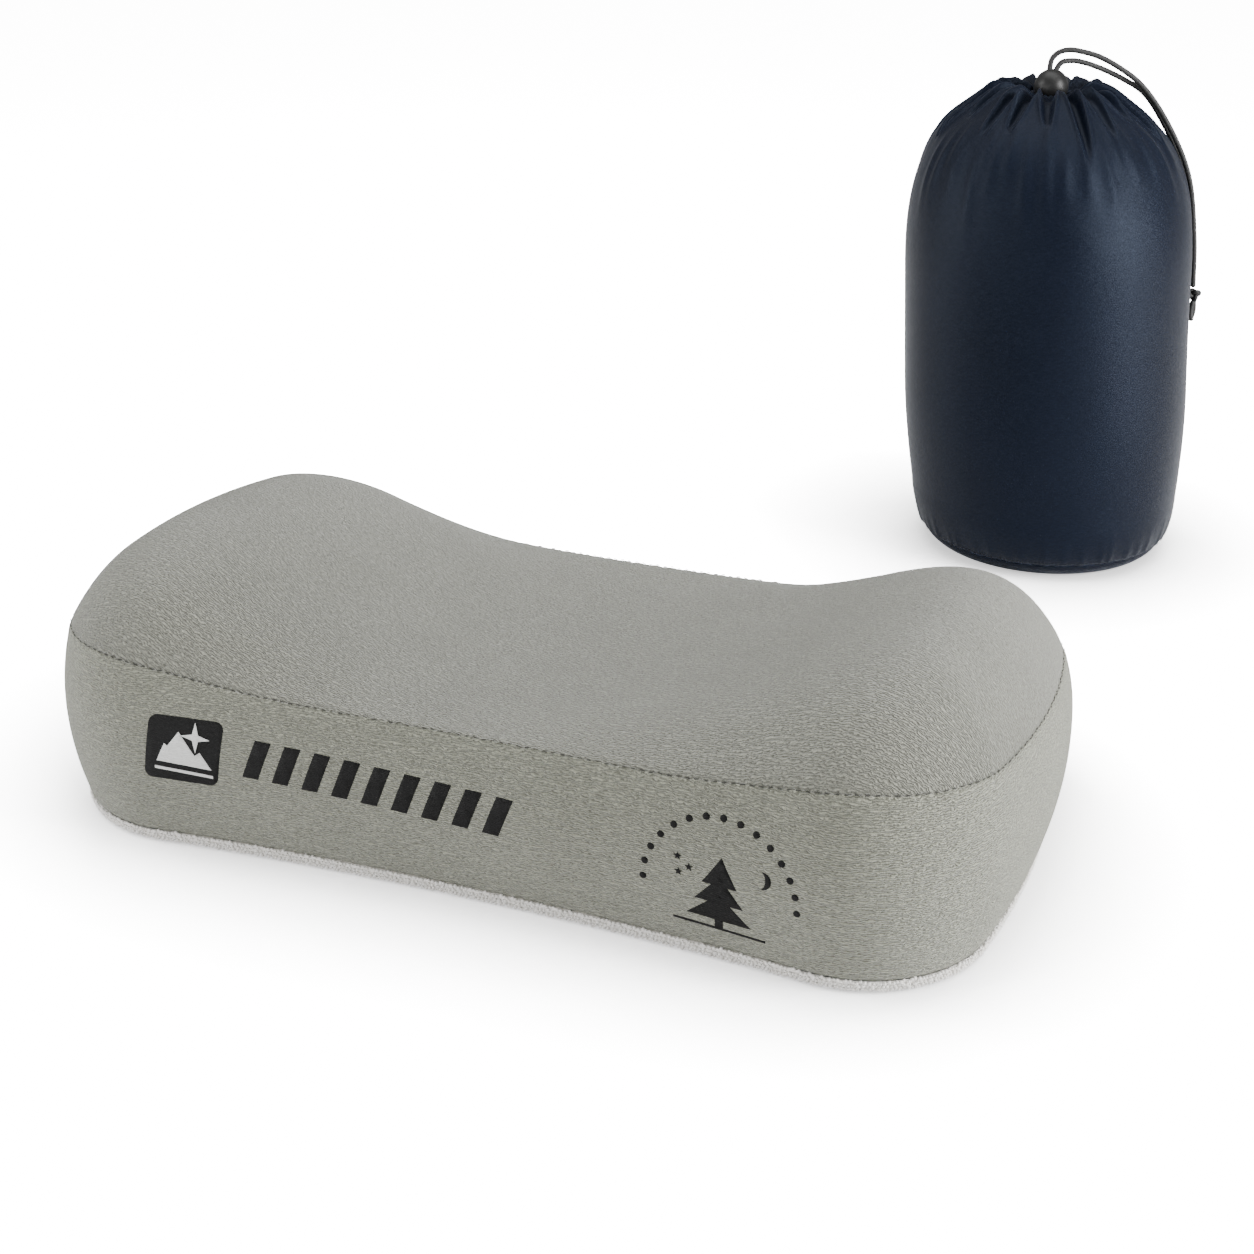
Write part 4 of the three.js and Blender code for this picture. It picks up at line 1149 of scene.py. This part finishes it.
SACK_STITCH_PITCH = 2.6 * MM
SACK_STITCH_RISE = 3 * MM
SACK_STITCH_LIFT = 0.05 * MM


def sack_stitches():
    turn = np.linspace(0, TAU, 900)
    s = 0 * turn + SIDE_LENGTH - SACK_STITCH_RISE
    points = sack_points(turn, s, SACK_STITCH_LIFT)
    out = points - sack_points(turn, s, -1 * MM)
    out /= np.linalg.norm(out, axis=1)[:, None]
    return stitches(
        "sack_base_stitches", points, out, SACK_STITCH_PITCH, "sack", thick=0.3 * MM,
    )


sack_pieces = [sack_side(), sack_floor(), sack_neck()]
load = sack_load()
sack_thread = sack_stitches()


# Ball cord lock: a hollow ball with a cord slot through it, and a plunger.

LOCK_SLOT = (3.5 * MM, 1.8 * MM)
LOCK_BORE = 4.9 * MM
LOCK_BORE_PAST = (3 * MM, 2 * MM)
LOCK_TRAVEL = 2 * MM
BALL_EDGE = 0.35 * MM
BUTTON_EDGE = 0.5 * MM


def along_y(bm, centre, low, high, radius, segments=ROUND_SIDES):
    bmesh.ops.create_cone(
        bm, cap_ends=True, segments=segments, radius1=radius, radius2=radius, depth=high - low,
    )
    bmesh.ops.rotate(bm, cent=(0, 0, 0), matrix=Matrix.Rotation(math.pi / 2, 3, "X"), verts=bm.verts)
    bmesh.ops.translate(bm, vec=(centre.x, (low + high) / 2, centre.z), verts=bm.verts)


def soften(piece, width):
    edge = piece.modifiers.new("soft_edges", "BEVEL")
    edge.width = width
    edge.segments = 3
    edge.limit_method = "ANGLE"
    edge.angle_limit = math.radians(35)
    edge.use_clamp_overlap = True


def cord_lock():
    low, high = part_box("cord_lock_body")
    ball_middle = (low + high) / 2
    radius = (high.x - low.x) / 2
    button_low, button_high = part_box("cord_lock_button")
    button_middle = (button_low + button_high) / 2
    button_radius = (button_high.x - button_low.x) / 2
    bm = bmesh.new()
    bmesh.ops.create_uvsphere(
        bm, u_segments=72, v_segments=40, radius=radius, matrix=Matrix.Translation(ball_middle),
    )
    ball = new_piece("cord_lock_ball", bm)
    slot = box_piece(
        "cord_slot", ball_middle - Vector((*LOCK_SLOT, 2 * radius)),
        ball_middle + Vector((*LOCK_SLOT, 2 * radius)),
    )
    bm = bmesh.new()
    past_low, past_high = LOCK_BORE_PAST
    along_y(bm, button_middle, button_low.y - past_low, high.y + past_high, LOCK_BORE)
    carve(ball, slot, new_piece("lock_bore", bm, smooth=False))
    soften(ball, BALL_EDGE)
    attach(ball, "sack")
    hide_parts("cord_lock_body")
    bm = bmesh.new()
    along_y(bm, button_middle, button_low.y, button_high.y, button_radius, 48)
    button = new_piece("cord_lock_plunger", bm)
    slot = box_piece(
        "plunger_slot", (ball_middle.x - LOCK_SLOT[0], ball_middle.y - LOCK_SLOT[1], low.z),
        (ball_middle.x + LOCK_SLOT[0], ball_middle.y + LOCK_SLOT[1] + LOCK_TRAVEL, high.z),
    )
    carve(button, slot)
    soften(button, BUTTON_EDGE)
    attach(button, "lock_button")
    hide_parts("cord_lock_button")
    return [ball, button]


lock_pieces = cord_lock()


# Shader groups: each is built once, and each material places it with its own values.

def shader_group(name, inputs, outputs):
    """An empty node group with named sockets. Returns it with its input and output nodes."""
    group = bpy.data.node_groups.new(name, "ShaderNodeTree")
    for socket, kind, value in inputs:
        made = group.interface.new_socket(socket, in_out="INPUT", socket_type=kind)
        if value is not None:
            made.default_value = value
    for socket, kind in outputs:
        group.interface.new_socket(socket, in_out="OUTPUT", socket_type=kind)
    return group, group.nodes.new("NodeGroupInput"), group.nodes.new("NodeGroupOutput")


def add_node(tree, kind, links=(), **settings):
    """A node with its settings made. Each link names a socket of its own and the socket or value for it."""
    node = tree.nodes.new(kind)
    for key, value in settings.items():
        setattr(node, key, value)
    for socket, source in links:
        if isinstance(source, bpy.types.NodeSocket):
            tree.links.new(source, node.inputs[socket])
        else:
            node.inputs[socket].default_value = source
    return node


def mottle_group():
    """Two colours mixed by a soft noise."""
    group, given, made = shader_group(
        "mottle",
        [("Vector", "NodeSocketVector", None), ("Scale", "NodeSocketFloat", 40.0),
         ("Low", "NodeSocketColor", (0.2, 0.2, 0.2, 1)), ("High", "NodeSocketColor", (0.4, 0.4, 0.4, 1))],
        [("Color", "NodeSocketColor"), ("Fac", "NodeSocketFloat")],
    )
    noise = add_node(group, "ShaderNodeTexNoise", [
        ("Vector", given.outputs["Vector"]), ("Scale", given.outputs["Scale"]),
        ("Detail", 4.0), ("Roughness", 0.6),
    ])
    ramp = add_node(group, "ShaderNodeMapRange", [
        ("Value", noise.outputs["Fac"]), ("From Min", 0.3), ("From Max", 0.7),
    ])
    mix = add_node(group, "ShaderNodeMix", data_type="RGBA")
    group.links.new(ramp.outputs["Result"], mix.inputs[0])
    group.links.new(given.outputs["Low"], mix.inputs[6])
    group.links.new(given.outputs["High"], mix.inputs[7])
    group.links.new(mix.outputs[2], made.inputs["Color"])
    group.links.new(ramp.outputs["Result"], made.inputs["Fac"])
    return group


def crinkle_group():
    """Crepe: short wavy ribs that lie one unit apart along the axis, broken up by a ridged noise."""
    group, given, made = shader_group(
        "crinkle",
        [("Vector", "NodeSocketVector", None), ("Axis", "NodeSocketVector", (0.0, 0.0, 1.0)),
         ("Wander", "NodeSocketFloat", 16.0), ("Wander Scale", "NodeSocketFloat", 0.55)],
        [("Height", "NodeSocketFloat"), ("Hollow", "NodeSocketFloat")],
    )
    drift = add_node(group, "ShaderNodeTexNoise", [
        ("Vector", given.outputs["Vector"]), ("Scale", given.outputs["Wander Scale"]), ("Detail", 1.0),
    ])
    level = add_node(group, "ShaderNodeVectorMath", [
        (0, given.outputs["Vector"]), (1, given.outputs["Axis"]),
    ], operation="DOT_PRODUCT")
    turned = add_node(group, "ShaderNodeMath", [
        (0, level.outputs["Value"]), (1, TAU),
    ], operation="MULTIPLY")
    phase = add_node(group, "ShaderNodeMath", [
        (0, drift.outputs["Fac"]), (1, given.outputs["Wander"]), (2, turned.outputs[0]),
    ], operation="MULTIPLY_ADD")
    wave = add_node(group, "ShaderNodeMath", [(0, phase.outputs[0])], operation="SINE")
    breaks = add_node(group, "ShaderNodeTexNoise", [
        ("Vector", given.outputs["Vector"]), ("Scale", 1.1), ("Detail", 2.0), ("Roughness", 0.6),
    ])
    broken = add_node(group, "ShaderNodeMath", [
        (0, breaks.outputs["Fac"]), (1, 5.0), (2, wave.outputs[0]),
    ], operation="MULTIPLY_ADD")
    height = add_node(group, "ShaderNodeMapRange", [
        ("Value", broken.outputs[0]), ("From Min", 1.1), ("From Max", 3.9),
    ])
    # Hollow is high where the ribs lie low; the crepe materials paint shade into their colour with it.
    hollow = add_node(group, "ShaderNodeMath", [
        (0, 1.0), (1, height.outputs["Result"]),
    ], operation="SUBTRACT")
    group.links.new(height.outputs["Result"], made.inputs["Height"])
    group.links.new(hollow.outputs[0], made.inputs["Hollow"])
    return group


def weave_group():
    """Plain weave: threads cross over each other, and some are thicker than others."""
    group, given, made = shader_group(
        "weave",
        [("Vector", "NodeSocketVector", None), ("Threads", "NodeSocketFloat", 2000.0),
         ("Slub", "NodeSocketFloat", 120.0)],
        [("Height", "NodeSocketFloat"), ("Streak", "NodeSocketFloat")],
    )
    parts = add_node(group, "ShaderNodeSeparateXYZ", [(0, given.outputs["Vector"])])
    waves = []
    for axis in ("X", "Y"):
        turned = add_node(group, "ShaderNodeMath", [
            (0, parts.outputs[axis]), (1, given.outputs["Threads"]),
        ], operation="MULTIPLY")
        waves.append(add_node(group, "ShaderNodeMath", [(0, turned.outputs[0])], operation="SINE"))
    cross = add_node(group, "ShaderNodeMath", [
        (0, waves[0].outputs[0]), (1, waves[1].outputs[0]),
    ], operation="MULTIPLY")
    stretched = add_node(group, "ShaderNodeVectorMath", [
        (0, given.outputs["Vector"]), (1, (1.0, 9.0, 9.0)),
    ], operation="MULTIPLY")
    streak = add_node(group, "ShaderNodeTexNoise", [
        ("Vector", stretched.outputs[0]), ("Scale", given.outputs["Slub"]),
        ("Detail", 3.0), ("Roughness", 0.65),
    ])
    both = add_node(group, "ShaderNodeMath", [
        (0, cross.outputs[0]), (1, 0.15), (2, streak.outputs["Fac"]),
    ], operation="MULTIPLY_ADD")
    group.links.new(both.outputs[0], made.inputs["Height"])
    group.links.new(streak.outputs["Fac"], made.inputs["Streak"])
    return group


MOTTLE = mottle_group()
CRINKLE = crinkle_group()
WEAVE = weave_group()


def place_group(tree, group, links=()):
    return add_node(tree, "ShaderNodeGroup", links, node_tree=group)


def start_material(name, **values):
    """A material with its Principled BSDF's own values set. Returns material, tree and shader."""
    material = bpy.data.materials.new(name)
    material.use_nodes = True
    tree = material.node_tree
    shader = tree.nodes["Principled BSDF"]
    for key, value in values.items():
        shader.inputs[key.replace("_", " ")].default_value = value
    return material, tree, shader


def object_vector(tree, scale=(1, 1, 1), uv=False, cloth=False):
    """Object coordinates, or the piece's own UV map or flat cloth, scaled."""
    if cloth:
        place = add_node(tree, "ShaderNodeAttribute", attribute_name="cloth")
        source = place.outputs["Vector"]
    else:
        place = add_node(tree, "ShaderNodeTexCoord")
        source = place.outputs["UV" if uv else "Object"]
    mapping = add_node(tree, "ShaderNodeMapping", [("Vector", source)])
    mapping.inputs["Scale"].default_value = scale
    return mapping.outputs["Vector"]


def bump(tree, shader, height, strength, distance):
    node = add_node(tree, "ShaderNodeBump", [
        ("Height", height), ("Strength", strength), ("Distance", distance),
    ])
    tree.links.new(node.outputs["Normal"], shader.inputs["Normal"])


def grain_tone_and_painted_shade(tree, colour, factor_socket, low, high):
    """A colour multiplied by a grey that runs from low to high along a mask. On crepe it paints shade into
    the ribs' hollows and light onto their ridges; on woven cloth it follows the slub streaks.
    """
    grey = add_node(tree, "ShaderNodeMapRange", [
        ("Value", factor_socket), ("To Min", low), ("To Max", high),
    ])
    mix = add_node(tree, "ShaderNodeMix", data_type="RGBA", blend_type="MULTIPLY")
    mix.inputs[0].default_value = 1
    tree.links.new(colour, mix.inputs[6])
    tree.links.new(grey.outputs["Result"], mix.inputs[7])
    return mix.outputs[2]


CREPE_DEPTH = 0.7 * MM


def crepe_material(
    name, low, high, ribs, axis, cloth=False, strength=1.0, painted_rib_shade=(1.4, 0.5), **values,
):
    material, tree, shader = start_material(name, **values)
    colour = place_group(tree, MOTTLE, [
        ("Vector", object_vector(tree)), ("Scale", 26.0), ("Low", low), ("High", high),
    ])
    crinkle = place_group(tree, CRINKLE, [
        ("Vector", object_vector(tree, ribs, cloth=cloth)), ("Axis", axis),
    ])
    # Painted shade in the ribs' hollows and painted light on their ridges, multiplied into the base colour.
    tone = grain_tone_and_painted_shade(tree, colour.outputs["Color"], crinkle.outputs["Hollow"], *painted_rib_shade)
    tree.links.new(tone, shader.inputs["Base Color"])
    bump(tree, shader, crinkle.outputs["Height"], strength, CREPE_DEPTH)
    return material


def simple_material(name, low, high, scale=60.0, grain=900.0, strength=0.25, depth=0.1 * MM, **values):
    """A finish with soft colour variation and a fine grain in its surface."""
    material, tree, shader = start_material(name, **values)
    colour = place_group(tree, MOTTLE, [
        ("Vector", object_vector(tree)), ("Scale", scale), ("Low", low), ("High", high),
    ])
    tree.links.new(colour.outputs["Color"], shader.inputs["Base Color"])
    fine = place_group(tree, MOTTLE, [("Vector", object_vector(tree)), ("Scale", grain)])
    bump(tree, shader, fine.outputs["Fac"], strength, depth)
    return material


def woven_material(
    name, low, high, vector_scale, uv, threads=2000.0, slub=120.0, tone=(0.86, 1.14),
    strength=0.2, depth=0.1 * MM, **values,
):
    material, tree, shader = start_material(name, **values)
    colour = place_group(tree, MOTTLE, [
        ("Vector", object_vector(tree)), ("Scale", 18.0), ("Low", low), ("High", high),
    ])
    weave = place_group(tree, WEAVE, [
        ("Vector", object_vector(tree, vector_scale, uv)), ("Threads", threads), ("Slub", slub),
    ])
    shade = grain_tone_and_painted_shade(tree, colour.outputs["Color"], weave.outputs["Streak"], *tone)
    tree.links.new(shade, shader.inputs["Base Color"])
    bump(tree, shader, weave.outputs["Height"], strength, depth)
    return material


def rgb(red, green, blue):
    return (red, green, blue, 1)


# The ribs lie along an axis, this many to a metre of the cloth in each direction.

TOP_RIBS = (620, 1050, 620)
WALL_RIBS = (620, 620, 1050)
ACROSS = (0.25, 1.0, 0.0)
UPWARDS = (0.0, 0.0, 1.0)

# The top and the band are one crepe cloth: the top's copy is coloured darker, painted shade on the top
# panel.
TOP_CREPE_PAINTED_SHADE = crepe_material(
    "crepe_top_painted_shade", rgb(0.212, 0.213, 0.175), rgb(0.236, 0.237, 0.196), TOP_RIBS, ACROSS, True,
    Roughness=0.9, Specular_IOR_Level=0.25, Sheen_Weight=0.35, Sheen_Roughness=0.5,
)
BAND_CREPE = crepe_material(
    "crepe_band", rgb(0.240, 0.243, 0.190), rgb(0.268, 0.271, 0.214), WALL_RIBS, UPWARDS,
    Roughness=0.9, Specular_IOR_Level=0.25, Sheen_Weight=0.35, Sheen_Roughness=0.5,
)
# The inks also take painted shade in the crepe's hollows.
INK = crepe_material(
    "print_ink", rgb(0.003, 0.003, 0.003), rgb(0.006, 0.006, 0.006), WALL_RIBS, UPWARDS,
    strength=0.5, painted_rib_shade=(1.0, 0.8), Roughness=0.62, Specular_IOR_Level=0.2,
)
LIGHT_INK = crepe_material(
    "print_light_ink", rgb(0.72, 0.72, 0.70), rgb(0.82, 0.82, 0.8), WALL_RIBS, UPWARDS,
    strength=0.5, painted_rib_shade=(1.0, 0.85), Roughness=0.7,
)
FLEECE = simple_material(
    "fleece", rgb(0.90, 0.87, 0.82), rgb(0.97, 0.95, 0.92), 220.0, 700.0, 0.5, 0.4 * MM,
    Roughness=0.95, Specular_IOR_Level=0.15, Sheen_Weight=0.8,
)
SEAM_THREAD = simple_material(
    "seam_thread", rgb(0.028, 0.028, 0.022), rgb(0.06, 0.06, 0.05), 160.0, 2500.0, 0.4,
    Roughness=0.8,
)
NYLON = woven_material(
    "satin_nylon", rgb(0.0030, 0.0043, 0.0094), rgb(0.0042, 0.0060, 0.0126), (0.5, 0.35, 1), True,
    threads=7000.0, slub=260.0, tone=(0.1, 1.9), strength=0.6, depth=0.3 * MM,
    Roughness=0.3, Specular_IOR_Level=0.15, Specular_Tint=rgb(0.6, 0.74, 1.0),
    Sheen_Weight=0.06, Sheen_Roughness=0.3, Sheen_Tint=rgb(0.45, 0.6, 0.95),
)
NYLON_THREAD = simple_material(
    "nylon_thread", rgb(0.004, 0.005, 0.010), rgb(0.010, 0.013, 0.024), 160.0, 2500.0, Roughness=0.6,
)
BRAID = simple_material(
    "braided_cord", rgb(0.006, 0.006, 0.006), rgb(0.022, 0.022, 0.022), 900.0, 2600.0, 0.5, 0.12 * MM,
    Roughness=0.55, Specular_IOR_Level=0.5,
)
LOCK_PLASTIC = simple_material(
    "lock_plastic", rgb(0.009, 0.009, 0.009), rgb(0.014, 0.014, 0.014), 300.0, 1800.0, 0.12, 0.08 * MM,
    Roughness=0.42, Specular_IOR_Level=0.35,
)
ZIP_TAPE = woven_material(
    "zip_tape", rgb(0.10, 0.10, 0.085), rgb(0.13, 0.13, 0.11), (1, 1, 1), False, threads=7000.0,
    strength=0.5, depth=0.2 * MM, Roughness=0.85,
)
ZIP_TEETH = simple_material(
    "zip_teeth", rgb(0.07, 0.07, 0.06), rgb(0.10, 0.10, 0.085), 300.0, 2000.0, Roughness=0.45,
)
ZIP_METAL = simple_material(
    "zip_metal", rgb(0.03, 0.03, 0.032), rgb(0.055, 0.055, 0.058), 500.0, 1500.0, 0.1,
    Roughness=0.34, Metallic=0.9,
)
RUBBER = simple_material(
    "valve_rubber", rgb(0.055, 0.058, 0.062), rgb(0.075, 0.078, 0.082), 90.0, 1600.0, 0.15,
    Roughness=0.55,
)
SILICONE = simple_material(
    "silicone", rgb(0.62, 0.62, 0.58), rgb(0.72, 0.72, 0.68), 120.0, 1200.0, 0.1, Roughness=0.4,
)
FILM = simple_material(
    "bladder_film", rgb(0.52, 0.50, 0.45), rgb(0.60, 0.58, 0.52), 40.0, 500.0, 0.2, Roughness=0.42,
)
FOAM = simple_material(
    "open_foam", rgb(0.78, 0.62, 0.28), rgb(0.88, 0.75, 0.38), 300.0, 900.0, 0.9, 0.8 * MM,
    Roughness=0.95,
)
STEEL = simple_material(
    "spring_steel", rgb(0.5, 0.5, 0.5), rgb(0.62, 0.62, 0.62), 600.0, 2500.0, 0.1,
    Roughness=0.28, Metallic=1.0,
)


def finish_with(material, *pieces):
    for piece in pieces:
        piece.data.materials.clear()
        piece.data.materials.append(material)


finish_with(TOP_CREPE_PAINTED_SHADE, pillow_top)
finish_with(BAND_CREPE, pillow_band)
finish_with(FLEECE, pillow_base, loops)
finish_with(SEAM_THREAD, *pillow_thread)
finish_with(INK, *ink_prints)
finish_with(LIGHT_INK, light_print)
finish_with(ZIP_TEETH, teeth)
finish_with(NYLON, *sack_pieces)
finish_with(NYLON_THREAD, sack_thread)
finish_with(BAND_CREPE, load)
finish_with(BRAID, tail_long, tail_short, knot, *cord_ends)
finish_with(LOCK_PLASTIC, *lock_pieces)

# CAD nodes that keep their own shape. The moulded and cast ones get softened edges.

CARRIED = {
    "zip_tape_upper": ZIP_TAPE, "zip_tape_lower": ZIP_TAPE, "zip_stop_open": ZIP_METAL,
    "zip_stop_closed": ZIP_METAL, "zip_slider": ZIP_METAL, "zip_pull": ZIP_METAL,
    "valve_body": RUBBER, "valve_strap": RUBBER, "valve_plug": RUBBER, "valve_cap": RUBBER,
    "valve_eyelet": ZIP_TAPE, "valve_diaphragm": SILICONE, "air_bladder": FILM, "foam_core": FOAM,
    "drawcord_ring": BRAID, "cord_lock_spring": STEEL,
}
SOFTENED = ("zip_slider", "zip_pull", "valve_plug", "valve_cap", "valve_strap")
NODE_EDGE = 0.3 * MM

for node_name, node_material in CARRIED.items():
    finish_with(node_material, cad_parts[node_name])
for node_name in SOFTENED:
    soften(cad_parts[node_name], NODE_EDGE)


# Floor, light and the plain white surroundings. Seen straight, the floor is lifted to white except
# where the object shades it. For every other ray it is a plain pale floor.

FLOOR_HALF = 4
FLOOR_GREY = 0.82
FLOOR_GAIN = 9.0
FLOOR_GAIN_IN_SHADE = 0.7
FLOOR_GLOW = 1.1
FLOOR_SHADE = 4.4
FLOOR_SHADE_REACH = 0.14
WORLD_LIGHT = 0.4
WORLD_SEEN = 30.0


def grey(level):
    return rgb(level, level, level)


def add_floor():
    bm = bmesh.new()
    bmesh.ops.create_grid(bm, x_segments=1, y_segments=1, size=FLOOR_HALF)
    floor = new_piece("floor", bm, smooth=False)
    material = bpy.data.materials.new("floor_white")
    material.use_nodes = True
    tree = material.node_tree
    tree.nodes.clear()
    rays = add_node(tree, "ShaderNodeLightPath")
    lit = add_node(tree, "ShaderNodeBsdfDiffuse", [("Color", grey(FLOOR_GREY))])
    open_sky = add_node(
        tree, "ShaderNodeAmbientOcclusion", [("Distance", FLOOR_SHADE_REACH)], samples=6,
    )
    shade = add_node(tree, "ShaderNodeMath", [
        (0, open_sky.outputs["AO"]), (1, FLOOR_SHADE),
    ], operation="POWER")
    gain = add_node(tree, "ShaderNodeMapRange", [
        ("Value", shade.outputs[0]), ("To Min", FLOOR_GAIN_IN_SHADE), ("To Max", FLOOR_GAIN),
    ])
    reflected = add_node(tree, "ShaderNodeBsdfDiffuse", [("Color", gain.outputs[0])])
    glow = add_node(tree, "ShaderNodeEmission", [("Color", gain.outputs[0]), ("Strength", FLOOR_GLOW)])
    bright = add_node(tree, "ShaderNodeAddShader", [(0, reflected.outputs[0]), (1, glow.outputs[0])])
    mix = add_node(tree, "ShaderNodeMixShader", [
        (0, rays.outputs["Is Camera Ray"]), (1, lit.outputs[0]), (2, bright.outputs[0]),
    ])
    out = add_node(tree, "ShaderNodeOutputMaterial")
    tree.links.new(mix.outputs[0], out.inputs["Surface"])
    floor.data.materials.append(material)


def add_world():
    world = bpy.data.worlds.new("studio")
    world.use_nodes = True
    tree = world.node_tree
    tree.nodes.clear()
    rays = add_node(tree, "ShaderNodeLightPath")
    soft = add_node(tree, "ShaderNodeBackground", [("Color", grey(1)), ("Strength", WORLD_LIGHT)])
    white = add_node(tree, "ShaderNodeBackground", [("Color", grey(1)), ("Strength", WORLD_SEEN)])
    mix = add_node(tree, "ShaderNodeMixShader", [
        (0, rays.outputs["Is Camera Ray"]), (1, soft.outputs[0]), (2, white.outputs[0]),
    ])
    out = add_node(tree, "ShaderNodeOutputWorld")
    tree.links.new(mix.outputs[0], out.inputs["Surface"])
    bpy.context.scene.world = world


def add_softbox(name, place, target, size, power):
    data = bpy.data.lights.new(name, "AREA")
    data.shape = "RECTANGLE"
    data.size, data.size_y = size
    data.energy = power
    lamp = bpy.data.objects.new(name, data)
    bpy.context.scene.collection.objects.link(lamp)
    lamp.location = place
    lamp.rotation_euler = (Vector(target) - Vector(place)).to_track_quat("-Z", "Y").to_euler()


# Each softbox: its name, place, target, size and power.

SOFTBOXES = (
    ("top_softbox", (0.1, 0.35, 1.5), (0.05, 0.15, 0), (1.6, 1.0), 16),
    ("right_softbox", (1.3, 0.05, 0.5), (0.15, 0.1, 0.06), (0.5, 0.9), 34),
    ("left_softbox", (-1.2, -0.2, 0.6), (0.1, 0.2, 0.1), (0.5, 1.0), 12),
    ("front_softbox", (-0.5, -1.4, 0.34), (0.05, 0, 0.06), (1.5, 0.5), 12),
)

add_floor()
add_world()
for softbox in SOFTBOXES:
    add_softbox(*softbox)
